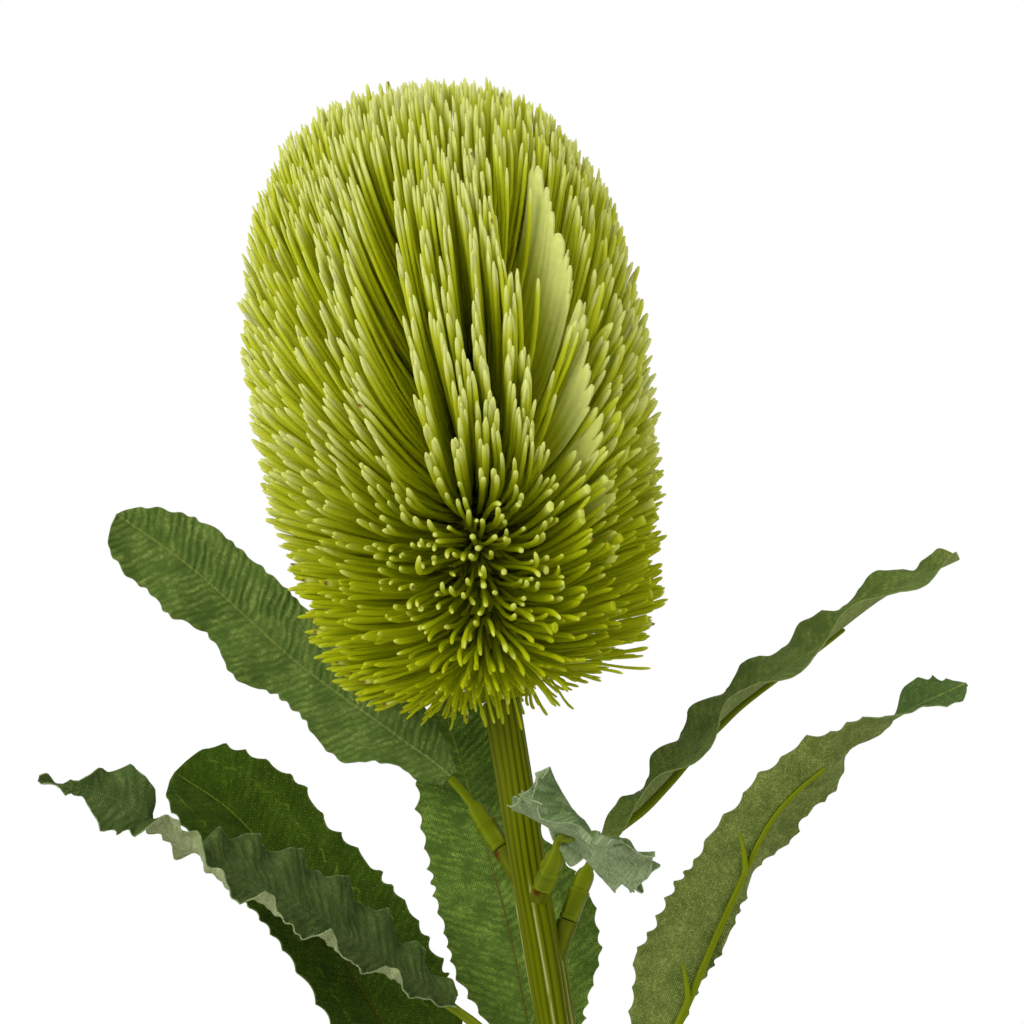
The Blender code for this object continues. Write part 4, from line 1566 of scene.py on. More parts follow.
def leaves() -> list[Leaf]:
    """The seven leaves of the spray.

    Returns:
        The leaves, from the upper left one to the front one.
    """
    return [
        Leaf("upper_left", 0.302,
             ((-37, 8, 320), (-45, 12, 330), (-58, 19, 339.5), (-82.5, 30, 356.8),
              (-109, 34.5, 380.3), (-127, 35, 393.2)),
             ((0, 2), (0.07, 6.2), (0.13, 9), (0.3, 11), (0.6, 11.8), (0.8, 11.2), (0.87, 10),
              (0.94, 6.5), (1, 2)),
             ((0, (0.55, 0.30, 0.78)),), (6, 6),
             second=((0, 2.5), (0.05, 6.2), (0.10, 6.0), (0.16, 9.2), (0.21, 13.2), (0.29, 13.0),
                     (0.36, 10.4), (0.45, 9.2), (0.49, 11.5), (0.52, 13.6), (0.565, 13.4), (0.61, 10.6),
                     (0.66, 9.6), (0.70, 11.2), (0.75, 13.6), (0.79, 12.6), (0.83, 11.2), (0.90, 11.5),
                     (0.96, 9.6), (1, 5)),
             teeth=(4.3, 0.8), margin=Margin.ROUNDED, ripple=(16, 0.6), second_ripple=(24, 1.5),
             seed=11, creases=(2.8, 0.12),
             finish=LeafFinish("upper_left_print", base=colour(169, 192, 95), dark=colour(95, 123, 51),
                               rib_low=colour(180, 188, 110), pleats=0.8)),
        Leaf("lower_left", 0.222,
             ((-27, 3, 238), (-42, 4, 252), (-53, 5, 262), (-61, 6, 271.5), (-77, 9.5, 296.5),
              (-96.5, 13.5, 320.5), (-111.5, 16, 331)),
             ((0, 3), (0.12, 14), (0.28, 20), (0.45, 20), (0.6, 17.5), (0.7, 15.2), (0.78, 17), (0.86, 14.5),
              (0.93, 12.5), (0.98, 9), (1, 5)),
             ((0, (0.85, 0.0, 0.50)), (1, (0.72, 0.1, 0.66))), (6, 54),
             second=((0, 3), (0.12, 12), (0.28, 16), (0.45, 17), (0.6, 18), (0.72, 21), (0.80, 20),
                     (0.88, 18), (0.95, 14), (1, 6)),
             teeth=(5.4, 2.1), ripple=(18, 0.9), seed=12,
             finish=LeafFinish("lower_left_print", base=colour(87, 116, 25), dark=colour(50, 75, 10),
                               dot=colour(156, 178, 60), vein=colour(150, 174, 56),
                               rib_low=colour(110, 78, 26), rib_change=(0.62, 0.42), rib_share=0.55)),
        Leaf("front_left", 0.252,
             ((-36, -7, 271), (-44.5, -9, 277), (-57, -14, 285.5), (-81, -21.5, 302),
              (-103, -27, 313.5), (-121, -31, 326.5), (-140, -33, 331.5)),
             ((0, 2.5), (0.1, 8), (0.25, 13), (0.42, 14.5), (0.57, 12.5), (0.64, 6), (0.68, 4),
              (0.74, 3.8), (0.79, 6.5), (0.835, 8.6), (0.88, 6.0), (0.905, 2.6), (0.93, 1.5), (1, 1.0)),
             ((0, (0.15, 0.88, 0.42)), (0.61, (0.12, 0.90, 0.40)), (0.67, (-0.1, 0.55, -0.85)),
              (0.735, (-0.1, 0.55, -0.85)), (0.775, (0.40, 0.35, 0.85)), (1, (0.30, 0.60, 0.60))),
             (14, 6), spined=0.5, teeth=(6.0, 2.0), ripple=(11, 2.0), second_ripple=(9, 0.8), seed=13,
             curls=(Curl(1, 0.18, 0.03, 120), Curl(1, 0.33, 0.025, 110), Curl(1, 0.48, 0.03, 120),
                    Curl(1, 0.60, 0.03, 100)), creases=(2.8, 0.24),
             finish=LeafFinish("front_left_print", base=colour(118, 136, 71), dark=colour(74, 96, 43),
                               vein=colour(118, 134, 72), rib_share=0.4, under=colour(183, 195, 139),
                               under_dark=colour(150, 163, 106), cut=colour(178, 190, 142),
                               under_thread=colour(196, 206, 160), pleats=0.7)),
        Leaf("back", 0.228,
             ((-17, 10, 247), (-20, 15, 256), (-24, 19, 270.5), (-29.2, 23, 295),
              (-37.7, 29, 324), (-45.5, 35, 349.5)),
             ((0, 2.5), (0.1, 9), (0.3, 18.5), (0.42, 19), (0.5, 16), (0.58, 12), (0.75, 11), (0.92, 9),
              (1, 3)),
             ((0, (0.96, 0.15, 0.20)),), (9, 9),
             second=((0, 2.5), (0.1, 9), (0.3, 18), (0.5, 18.5), (0.75, 16), (0.92, 11), (1, 4)),
             teeth=(4.4, 1.4), ripple=(19, 0.7), seed=14, creases=(3.0, 0.14),
             finish=LeafFinish("back_print", base=colour(179, 214, 90), dark=colour(103, 135, 51),
                               vein=colour(176, 198, 76), rib_low=colour(122, 84, 30),
                               rib_change=(0.8, 0.5), rib_share=0.7, rib_place=-2.5, pleats=0.65)),
        Leaf("upper_right", 0.283,
             ((-13, 4, 306.5), (-8.5, 5, 314.8), (2, 7, 323.2), (23, 11.5, 345.5),
              (44.5, 14, 361.5), (61.5, 16, 374), (78, 17, 382)),
             ((0, 2.5), (0.12, 7), (0.3, 11), (0.6, 11.5), (0.85, 9.5), (0.95, 7.5), (1, 4)),
             ((0, (0.15, -0.97, 0.10)),), (4, 27), teeth=(5.6, 1.1), ripple=(33, 2.6),
             second_ripple=(17, 1.5), seed=15,
             finish=LeafFinish("upper_right_print", base=colour(154, 173, 82), dark=colour(97, 120, 47),
                               under=colour(167, 185, 101), under_dark=colour(122, 140, 65))),
        Leaf("lower_right", 0.230,
             ((-4, -6, 247), (0.2, -8, 254), (9.9, -11, 275), (21.8, -14, 302.6),
              (32.7, -17, 324), (55.9, -20, 342.6), (76, -22, 353.7)),
             ((0, 2.5), (0.1, 9), (0.25, 16), (0.42, 13.5), (0.57, 9.5), (0.75, 8.7), (0.88, 7),
              (0.96, 5), (1, 2.5)),
             ((0, (-0.79, -0.24, 0.52)), (0.70, (-0.70, -0.45, 0.52)), (0.86, (-0.20, -0.95, 0.10)),
              (1, (0.42, -0.53, -0.72))), (6, 26),
             second=((0, 1.5), (0.1, 2.0), (0.3, 3.0), (0.42, 4.5), (0.475, 5.5), (0.52, 11), (0.565, 12),
                     (0.605, 8.5), (0.64, 8.5), (0.68, 11.5), (0.72, 11), (0.76, 6), (0.82, 5), (0.90, 6),
                     (0.96, 4.5), (1, 2)),
             teeth=(4.8, 1.7), ripple=(15, 0.8), second_ripple=(27, 2.2), seed=16, spurs=(0.20, 0.46),
             finish=LeafFinish("lower_right_print", base=colour(124, 151, 80), dark=colour(82, 108, 51),
                               under=colour(155, 172, 85), under_dark=colour(93, 112, 44),
                               under_thread=colour(184, 196, 108))),
        Leaf("front", 0.300,
             ((-20.8, -12.5, 310.5), (-19.3, -17.0, 316.4), (-17.2, -36, 318.2), (-14.6, -60, 319.8),
              (-12.0, -95, 322.6)),
             ((0, 3), (0.12, 11), (0.35, 16.5), (0.8, 16.5), (0.94, 12), (1, 5)),
             ((0, (-0.80, 0.0, 0.60)),), (7, 3), teeth=(5.0, 2.0), ripple=(40, 4.6),
             second_ripple=(22, 4.2), seed=17, spined=0.4, creases=(7.0, 1.65),
             finish=LeafFinish("front_print", rib_share=0.25, pleats=1.0,
                               base=colour(159, 179, 124), dark=colour(97, 122, 69),
                               dot=colour(152, 168, 122), under=colour(183, 200, 150),
                               under_dark=colour(129, 152, 99), under_thread=colour(176, 190, 146),
                               cut=colour(190, 200, 160))),
    ]


# Stem -----------------------------------------------------------------------------

@dataclass
class Stem:
    """The fluted plastic stem, with a nub for each leaf and the ridge that runs down from it."""

    joints: list[Leaf]
    sides: int = 112
    flutes: int = 16
    foot_radius: float = 0.0038
    top_radius: float = STEM_TOP_RADIUS
    spigot_radius: float = 0.0029
    spigot_length: float = 0.011
    depth: float = 0.00038
    bore: float = 0.0015
    bore_length: float = 0.3006
    outside_from: float = 0.0033
    ridge_run: float = 0.056
    ridge_height: float = 0.0009
    ridge_above_joint: float = 0.004
    nub_radius: float = 0.0024
    nub_outline: tuple[Pair, ...] = ((1.10, 0.35), (1.06, 0.6), (1.0, 0.8))
    gate_side: Triple = (-0.62, -0.70, -0.35)

    def outline(self, length: float) -> list[Pair]:
        """The section up the bore, out over the foot and up the outside to the spigot.

        Args:
            length: The stem's length up to the spigot.

        Returns:
            The radius and the height of each ring.
        """
        inside = [(self.bore, self.bore_length), (self.bore, 0.0), (self.foot_radius - 0.0004, 0.0),
                  (self.foot_radius, 0.0003)]
        grow = self.top_radius - self.foot_radius
        outside = [(self.foot_radius + grow * z / length, z) for z in np.linspace(0.002, length, 190)]
        spigot = [(self.spigot_radius, length), (self.spigot_radius, length + self.spigot_length)]
        return inside + outside + spigot

    def ridges(self, angle: Array, height: Array,
               frame_of_stem: Matrix) -> tuple[Array, Array]:
        """The ridge below each joint.

        Args:
            angle: The corners' angles about the stem's line.
            height: Their distances along it.
            frame_of_stem: The frame at the stem's foot, with +Z along it.

        Returns:
            How tall the ridges are at each corner, in shares, and how much mould flash runs
            along their sides.
        """
        inverse = frame_of_stem.inverted()
        tall, flash = np.zeros(len(angle)), np.zeros(len(angle))
        for leaf in self.joints:
            outward = inverse.to_3x3() @ leaf.joint_frame().to_3x3().col[2]
            middle = math.atan2(outward.y, outward.x)
            top = (inverse @ AXIS.place(leaf.joint)).z + self.ridge_above_joint
            below = (top - height) / self.ridge_run
            run = ease(below, -0.09, 0.02) * fall(below, 0.35, 1.0)
            # Each ridge is flat on top and widest at its joint, with flash along both sides.
            off = np.abs((angle - middle + math.pi) % (2 * math.pi) - math.pi)
            width = 0.34 + 0.18 * np.clip(1 - below, 0, 1)
            tall += run * np.exp(-(off / width) ** 4)
            flash += run * np.exp(-((off - width * 1.02) / 0.045) ** 2)
        return tall, flash

    def build(self, material: Material) -> Piece:
        """Moulds the stem and its nubs in one piece.

        Args:
            material: The stem's finish.

        Returns:
            The stem.
        """
        start, end = AXIS.place(AXIS.foot_z), AXIS.place(AXIS.head_z)
        piece = turned("stem_fluted", self.sides, self.outline((end - start).length))
        flat = corner_array(piece)
        height = flat[:, 2]
        angle, radius = polar(flat)
        outer = (radius > self.outside_from) & (height > 0.00001)
        wander = 0.10 * Drift(3)(height / 0.05, np.cos(angle)) + 0.04 * Drift(4)(height / 0.02, angle)
        # Narrow grooves part the flutes, and they are shallower in the ridges.
        groove = np.abs(np.sin((angle + wander) * self.flutes / 2)) ** 6.0
        turn = frame_at(start, end - start)
        tall, flash = self.ridges(angle, height, turn)
        grown = radius - self.depth * groove * (1 - 0.5 * np.clip(tall, 0, 1)) + self.ridge_height * tall
        radius = np.where(outer, grown, radius)
        set_corners(piece, carried(round_places(angle, height, radius), turn))
        # The finish paints the grooves in the darker valley colour as shade, more strongly in some places
        # round the stem than in others.
        groove_shade_wander = 1.0 + 0.5 * Drift(8)(np.cos(angle) * 4.0, np.sin(angle) * 4.0)
        broken = 0.4 + 0.6 * (Drift(9)(height / 0.004, angle) > -0.3)
        add_values(piece.data, ridge=np.clip(1 - groove * groove_shade_wander, 0, 1), flash=np.clip(flash, 0, 1) * broken,
                   stain=np.zeros(len(flat)), grain=round_places(angle, height / 0.03, 1.6))
        join_to(piece, [self.nub(leaf) for leaf in self.joints])
        smooth_by_angle(piece, 50)
        piece.data.materials.clear()
        piece.data.materials.append(material)
        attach(piece, BODY)
        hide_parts("stem")
        return piece

    def nub(self, leaf: Leaf) -> Piece:
        """The nub that a leaf's sleeve meets, swollen where it leaves the stem.

        Args:
            leaf: The leaf.

        Returns:
            The nub, to be joined to the stem.
        """
        reach = leaf.nub_reach()
        outline = [(0.0012, 0.0), (self.nub_radius * 0.9, 0.0005)]
        outline += [(self.nub_radius * swell, share * reach) for swell, share in self.nub_outline]
        outline += [(self.nub_radius * 1.04, reach - 0.0008), (self.nub_radius * 1.05, reach - 0.0003),
                    (self.nub_radius * 0.95, reach)]
        piece = turned(f"nub_{leaf.name}", 20, outline)
        flat = corner_array(piece)
        angle, _ = polar(flat)
        matrix = leaf.joint_frame()
        set_corners(piece, carried(flat, matrix))
        towards = round_places(angle, np.zeros(len(flat))) @ np.array(matrix)[:3, :3].T
        gate = ease(towards @ np.array(self.gate_side), 0.86, 0.97) * (flat[:, 2] > reach - 0.001)
        add_values(piece.data, ridge=0.7 + 0.3 * np.cos(6 * angle), flash=np.zeros(len(flat)), stain=gate,
                   grain=round_places(angle, flat[:, 2] / 0.01) + leaf.seed)
        return piece


# Flower head ----------------------------------------------------------------------

class Tip(Enum):
    """How a bristle ends."""

    POINTED = "pointed"
    CLUB = "club"
    STRAP = "strap"
    PADDLE = "paddle"
    CUT = "cut"


@dataclass(frozen=True)
class Parting:
    """A line up the head from which the bristles of both sides stand away.

    Attributes:
        azimuth: Degrees from the front towards +X, at mid height.
        low: Where it starts, in millimetres above the head's foot.
        high: Where it ends.
        push: How far it moves the tips on its left and on its right, in millimetres.
        reach: Over what distance the push dies away.
        slant: Degrees of azimuth that it gains in 100 mm of height.
    """

    azimuth: float
    low: float
    high: float
    push: Pair
    reach: float = 8.0
    slant: float = 0.0


@dataclass
class Strokes:
    """All the bristles: an array for each value, with one entry for each bristle.

    Attributes:
        points: The four control points of each curve, in metres.
        azimuth: The roots' directions, in radians.
        root: The roots' heights, in millimetres above the head's foot.
        kind: How each one ends.
        width: The radius of each one's shaft, in millimetres.
        fade: By how many millimetres its colours are shifted towards the tip.
        tone: A number from 0 to 1 by which neighbours differ.
        level: The tip's height as a share of the head's.
        scorch: One where the tip is scorched, and nothing elsewhere.
    """

    points: Array
    azimuth: Array
    root: Array
    kind: Array
    width: Array
    fade: Array
    tone: Array
    level: Array
    scorch: Array


@dataclass
class BristleHead:
    """The flower head: rings of bristles in near-upright rows, on hubs over the core.

    All lengths are in millimetres, above the head's foot or from its middle line.

    Attributes:
        outline: The radius and the height of the surface that the tips stand on.
        tip_heights: The tip heights that the tables below are for.
        root_heights: How high the roots stand.
        tip_slopes: Degrees by which the bristles rise at their tips.
        root_slopes: Degrees by which they rise at their roots.
        side_roots: The root heights at the head's sides.
        side_slopes: The tips' slopes at the head's sides.
        tip_spacing: Up to each height, how far apart tips stand in a row.
        row_spacing: Up to each height, how far apart the rows are.
        tip_line: The middle line at the tips: x at the foot, its lean, its bend, and the lean
            of the rings at the foot.
        root_line: The same at the roots.
        root_radius: Where the roots stand on the core.
        core_top: The core's top, above which the roots stand closer to the line.
        crown_from: The root height from which bristles are the crown's.
        whorls: How many whorls there are below the crown.
        whorl_first: The height of the first whorl's roots.
        whorl_step: How far apart the whorls are.
        crown_hub: The height of the crown's hub.
        hub_height: How tall each hub is.
        hub_radius: The radius of the whorls' hubs.
        crown_hub_radius: The radius of the crown's hub.
        top: The head's height.
        mid_height: The height for which the partings' azimuths are given.
        front: The azimuth of the front's middle, in degrees.
        flank_middle: The azimuth halfway between the two flanks, in degrees.
        shaft_radius: The radius of an ordinary bristle.
        ring_count: How many tips the full rings have.
        fin_steps: How many corners a web has from its root to its edge.
        seed: For the chance of the whole head.
        partings: Where bristles stand away from a line.
        fins: Azimuth in degrees, lowest and highest tip and raggedness of each web.
    """

    outline: tuple[Pair, ...] = (
        (9.5, -3.5), (17.0, 0.0), (28.0, 3.4), (36.0, 8.0), (39.4, 14), (41.2, 20), (42.6, 27), (44.0, 33),
        (45.3, 40), (46.6, 48), (47.5, 58), (47.8, 70), (47.8, 85), (46.9, 98), (45.5, 106), (43.4, 114),
        (40.4, 122), (36.6, 129), (30.8, 137.4), (20.5, 143.6), (10.0, 146.2), (1.0, 146.8))
    tip_heights: tuple[float, ...] = (-3.5, 7, 20, 33, 46, 62, 95, 120, 138, 146)
    root_heights: tuple[float, ...] = (9, 17, 27, 36, 42, 46, 57, 72, 95, 115)
    tip_slopes: tuple[float, ...] = (-80, -64, -46, -20, 6, 38, 61, 74, 83, 88)
    root_slopes: tuple[float, ...] = (-60, -46, -30, -14, -2, 4, 15, 30, 50, 75)
    side_roots: tuple[float, ...] = (7, 11, 20, 29, 37, 45, 57, 72, 95, 115)
    side_slopes: tuple[float, ...] = (-34, -14, -5, 6, 19, 40, 61, 74, 83, 88)
    tip_spacing: tuple[Pair, ...] = ((25, 3.8), (108, 3.7), (math.inf, 2.6))
    row_spacing: tuple[Pair, ...] = ((22, 3.0), (40, 3.4), (108, 3.7), (116, 3.4), (math.inf, 2.6))
    tip_line: tuple[float, ...] = (-31.8, -0.194, 0.0003, -0.19)
    root_line: tuple[float, ...] = (-32.74, -0.164, 0.00026, -0.164)
    root_radius: float = 9.0
    core_top: float = 113.0
    crown_from: float = 113.2
    whorls: int = 13
    whorl_first: float = 8.0
    whorl_step: float = 8.5
    crown_hub: float = 122.0
    hub_height: float = 7.6
    hub_radius: float = 9.5
    crown_hub_radius: float = 7.0
    top: float = 145.0
    mid_height: float = 75.0
    front: float = -4.0
    flank_middle: float = -2.0
    shaft_radius: float = 0.57
    ring_count: int = 82
    fin_steps: int = 16
    seed: int = 20
    partings: tuple[Parting, ...] = (
        Parting(-13, 56, 132, (6.5, 1.8), 14, 3),
        Parting(19, 50, 100, (1.5, 2.5), 8, -4),
        Parting(36, 54, 127, (13.5, 1.5), 15, 0),
        Parting(2, 12, 60, (1.2, 1.2), 5),
        Parting(-38, 2, 58, (4.4, 2.6), 10, 2),
        Parting(-64, 0, 56, (4.4, 3.4), 10),
        Parting(-84, 0, 50, (2.6, 2.6), 9),
        Parting(62, 5, 80, (2.4, 2.4), 9),
        Parting(86, 5, 110, (2.4, 2.4), 9),
        Parting(112, 10, 120, (3.0, 4.0), 10, 4),
        Parting(140, 40, 110, (4.0, 2.0), 12, -4),
        Parting(165, 15, 90, (2.2, 2.2), 9, 3),
        Parting(-170, 50, 130, (2.0, 5.5), 12, -3),
        Parting(-148, 10, 90, (3.0, 3.0), 10, 3),
        Parting(-122, 30, 120, (5.0, 2.0), 12, -4),
        Parting(-100, 5, 80, (2.6, 2.6), 9, 2),
    )
    fins: tuple[tuple[float, float, float, float], ...] = (
        (41, 93, 126, 0.9), (43, 67, 92, 1.2), (44, 52, 65, 1.8), (48, 40, 50, 1.4), (51, 28, 36, 1.3),
        (-140, 70, 96, 1.0), (128, 60, 82, 1.1), (160, 40, 52, 1.2))

    def __post_init__(self) -> None:
        """Draws the head's chance from its seed."""
        self.chance = np.random.default_rng(self.seed)
        self.profile = evenly(np.array(self.outline, float), 800)
        self.run = np.linspace(0, step_lengths(self.profile).sum(), 800)
        self.drifts = [Drift(self.seed + k) for k in range(6)]

    def on_profile(self, run: Array) -> tuple[Array, Array]:
        """The radius and the height at a run along the profile."""
        return np.interp(run, self.run, self.profile[:, 0]), np.interp(run, self.run, self.profile[:, 1])

    def off_front(self, azimuth: Array) -> Array:
        """0 for a direction near the front and 1 for one well to a side."""
        return ease(np.abs(np.degrees(azimuth) - self.front), 16, 46)

    def patterns(self) -> dict[Tip, Shape]:
        """Moulds one bristle of each kind, a unit long, by its ring radii.

        Returns:
            The pattern of each kind of tip.
        """
        stations = {
            Tip.POINTED: ((0.9, 0.0), (0.95, 0.28), (1.0, 0.55), (1.1, 0.76), (1.2, 0.87), (1.15, 0.93),
                          (0.86, 0.975), (0.34, 1.0)),
            Tip.CLUB: ((0.9, 0.0), (0.95, 0.3), (1.0, 0.58), (1.06, 0.77), (1.18, 0.87), (1.26, 0.925),
                       (1.02, 0.97), (0.32, 1.0)),
            Tip.STRAP: ((0.9, 0.0), (1.15, 0.28), (1.3, 0.5), (1.35, 0.68), (1.2, 0.84), (1.02, 0.94),
                        (0.78, 0.98), (0.34, 1.0)),
            Tip.PADDLE: ((0.9, 0.0), (1.2, 0.28), (1.7, 0.52), (2.2, 0.72), (2.5, 0.86), (2.3, 0.93),
                         (1.5, 0.975), (0.5, 1.0)),
            Tip.CUT: ((0.9, 0.0), (1.0, 0.3), (1.15, 0.55), (1.45, 0.75), (1.75, 0.88), (1.9, 0.97),
                      (1.95, 0.996), (1.7, 1.0)),
        }
        # Straps, paddles and cut ends are narrow sideways and deep outwards.
        squeezed = {Tip.STRAP: (0.82, 1.35), Tip.PADDLE: (0.5, 1.2), Tip.CUT: (0.8, 1.2)}
        made = {}
        for kind, rings in stations.items():
            piece = turned(f"bristle_{kind.value}", 6, rings)
            if kind in squeezed:
                bpy.ops.object.mode_set(mode="EDIT")
                bpy.ops.mesh.select_all(action="SELECT")
                bpy.ops.transform.resize(value=(*squeezed[kind], 1), center_override=(0, 0, 0))
                bpy.ops.object.mode_set(mode="OBJECT")
            made[kind] = Shape.taken_from(piece)
        return made

    def rows(self) -> list[tuple[float, int]]:
        """Each row of tips, from the foot up: its run on the profile and its count.

        Returns:
            The rows.
        """
        found, run = [], 1.0
        while run < self.run[-1] - 1.0:
            radius, height = self.on_profile(run)
            apart = next(apart for top, apart in self.tip_spacing if height < top)
            count = max(5, round(2 * math.pi * max(radius, 2.5) / apart))
            found.append((run, self.ring_count if height > 15 and radius > 43 else count))
            run += next(step for top, step in self.row_spacing if height < top)
        return found

    def spread(self, azimuth: Array, height: Array, radius: Array) -> Array:
        """How far the partings and the drift move tips sideways, in millimetres.

        Args:
            azimuth: The tips' directions, in radians.
            height: Their heights.
            radius: Their distances from the middle line.

        Returns:
            Millimetres, towards +X from the front.
        """
        moved = 1.5 * self.drifts[0](azimuth * 3.4, height / 22)
        moved = moved + 0.8 * self.drifts[1](azimuth * 9, height / 9)
        for parting in self.partings:
            slant = math.radians(parting.slant) * (height - self.mid_height) / 100
            middle = math.radians(parting.azimuth) + slant
            apart = (azimuth - middle + math.pi) % (2 * math.pi) - math.pi
            apart = apart * radius + 1.2 * self.drifts[2](height / 14, parting.azimuth)
            window = (ease(height, parting.low - 6, parting.low + 8)
                      * fall(height, parting.high - 8, parting.high + 6))
            push = np.where(apart < 0, -parting.push[0], parting.push[1])
            moved = moved + push * np.exp(-np.abs(apart) / parting.reach) * window
        return moved

    def ring_place(self, radius: Array, height: Array, azimuth: Array,
                   tip: bool) -> Array:
        """Places on rings about the head's middle line.

        Args:
            radius: Millimetres from the line.
            height: Millimetres above the head's foot.
            azimuth: Radians from the front.
            tip: Whether the rings are those of the tips, or those of the roots.

        Returns:
            The places, in metres.
        """
        foot, lean, bend, ring_lean = self.tip_line if tip else self.root_line
        bent = height if tip else np.maximum(0, height)
        centre = foot + lean * height + bend * bent ** 2
        slope = ring_lean + 2 * bend * bent
        size = np.hypot(1, slope)
        out = radius * np.sin(azimuth)
        return MM * np.stack([centre + out / size, -radius * np.cos(azimuth),
                              AXIS.head_z / MM + height - out * slope / size], axis=-1)

    def table(self, height: Array, aside: Array, front: Sequence[float],
              beside: Sequence[float]) -> Array:
        """A table read at the tips' heights, between the front's values and the sides'."""
        value = np.interp(height, self.tip_heights, front)
        return value + aside * (np.interp(height, self.tip_heights, beside) - value)

    def curves(self, height: Array, azimuth: Array, side: Array, depth: Array,
               curl: Array, radius: Optional[Array] = None,
               looseness: float = 1.0) -> tuple[Array, Array]:
        """The curves that bristles follow from the hub to their tips.

        Args:
            height: The tips' heights.
            azimuth: The roots' directions, in radians.
            side: How far each tip stands sideways of its root.
            depth: How far each tip stands out of the head's outline, along the bristle.
            curl: Degrees by which each end turns up.
            radius: The head's radius at the tips, where it isn't the outline's at their height.
            looseness: How much the bristles stray from their neighbours' curves.

        Returns:
            The four control points of each curve, in metres, and the root heights.
        """
        chance, count = self.chance, len(height)
        if radius is None:
            radius = np.interp(height, self.profile[:, 1], self.profile[:, 0])
        aside = self.off_front(azimuth)
        loose = looseness * (5 + 7 * (1 - aside) * fall(height, 30, 60))
        slope = self.table(height, aside, self.tip_slopes, self.side_slopes)
        slope = np.radians(slope + chance.normal(0, 1, count) * loose)
        tip_slope = slope + np.radians(curl * (1 - 0.6 * aside))
        root_height = self.table(height, aside, self.root_heights, self.side_roots)
        root_height += chance.normal(0, 0.8 * looseness, count)
        root_slope = np.radians(np.interp(height, self.tip_heights, self.root_slopes))
        root_slope = root_slope * (1 - 0.5 * aside * (height < 50))
        narrow = np.clip((self.top + 0.4 - height) * 1.5 + 1.5, 1.0, self.root_radius)
        root_radius = np.where(root_height > self.core_top, narrow, self.root_radius)
        tip_radius = radius + depth * np.cos(slope)
        tip_height = height + depth * np.sin(slope)
        span = np.hypot(tip_radius - root_radius, tip_height - root_height)
        tip_azimuth = azimuth + side / np.maximum(tip_radius, 6)
        first_pull, last_pull = 0.34 * span, (0.36 - 0.10 * fall(height, 20, 50)) * span
        start = self.ring_place(root_radius, root_height, azimuth, False)
        after = self.ring_place(root_radius + first_pull * np.cos(root_slope),
                                root_height + first_pull * np.sin(root_slope), azimuth, False)
        lean = side * (0.62 + 0.1 * looseness * chance.normal(0, 1, count))
        before_radius = tip_radius - last_pull * np.cos(tip_slope)
        facing = (1 - aside) * ease(height, 16, 30) * fall(height, 48, 68)
        before = self.ring_place(before_radius, tip_height - last_pull * np.sin(tip_slope),
                                 azimuth * (1 + 0.38 * facing) + lean / np.maximum(before_radius, 6), True)
        end = self.ring_place(tip_radius, tip_height, tip_azimuth, True)
        return np.stack([start, after, before, end]), root_height

    def seats(self) -> tuple[Array, Array, Array]:
        """Lays out the tips in rings, thins them, and combs them into near-upright rows.

        Returns:
            Each tip's azimuth, its run on the profile, and 1 where it is low on the front and
            0 where it isn't.
        """
        azimuths, runs = [], []
        for number, (run, count) in enumerate(self.rows()):
            steps = (np.arange(count) + 0.5 * (number % 2) * (count != self.ring_count) + 0.12) / count
            azimuths.append(steps * 2 * math.pi - math.pi)
            runs.append(np.full(count, run))
        azimuth, run = np.concatenate(azimuths), np.concatenate(runs)
        _, height = self.on_profile(run)
        degrees = np.degrees(azimuth)
        # Tips are left out low on the right, low in the middle, at the foot and in one long gap.
        thin = 0.42 * hill(degrees, 80, 45) * fall(height, 8, 24)
        thin += 0.30 * hill(degrees, 2, 24) * ease(height, 4, 12) * fall(height, 36, 56)
        thin += 0.28 * fall(height, -2, 3)
        thin += 0.92 * (np.abs(degrees - 43.9) < 4.4) * (height > 52) * (height < 126)
        kept = self.chance.uniform(0, 1, len(run)) > thin
        azimuth, run, height = azimuth[kept], run[kept], height[kept]
        centred = (1 - self.off_front(azimuth)) * fall(height, 36, 62)
        # The comb draws two neighbouring columns of tips into one row, with the tips staggered.
        middle = fall(np.abs(np.degrees(azimuth) - self.flank_middle), 16, 34)
        combed = (0.9 - 0.35 * middle) * ease(height, 4, 12) * fall(height, 114, 126) * (1 - centred)
        comb = 4 * math.pi / self.ring_count
        away = azimuth - np.round(azimuth / comb) * comb
        azimuth = azimuth - combed * away
        run = run + combed * 0.95 * np.sign(away)
        # The rows then wander a little, so that none is quite straight.
        radius, _ = self.on_profile(run)
        meander = 1.6 * self.drifts[3](height / 16, azimuth * 6)
        azimuth = azimuth + meander / np.maximum(radius, 14)
        run = run + 1.6 * self.drifts[4](azimuth * 4.5, height / 12) + self.chance.normal(0, 1.6, len(run))
        return azimuth, np.clip(run, 0, self.run[-1]), centred

    def kinds(self, degrees: Array, height: Array) -> Array:
        """Draws how each bristle ends, by where it stands.

        Args:
            degrees: The tips' directions.
            height: Their heights.

        Returns:
            The name of each one's kind of tip.
        """
        draw = self.chance.uniform(0, 1, len(height))
        aside = ease(np.abs(degrees - self.flank_middle), 14, 34)
        aside = aside * ease(height, 12, 30) * fall(height, 112, 130)
        right = hill(degrees, 42, 20) * ease(height, 30, 50) * fall(height, 100, 125)
        cut = hill(degrees, 48, 22) * ease(height, 8, 16) * fall(height, 42, 55)
        found = np.full(len(height), Tip.POINTED.value, dtype=object)
        for tip, chosen in ((Tip.CLUB, draw < 0.62 * fall(height, 38, 62)),
                            (Tip.STRAP, (draw > 0.15) & (draw < 0.15 + 0.75 * aside)),
                            (Tip.PADDLE, draw > 1 - 0.16 * right), (Tip.CUT, draw > 1 - 0.17 * cut),
                            (Tip.POINTED, height < 3)):
            found[chosen] = tip.value
        return found

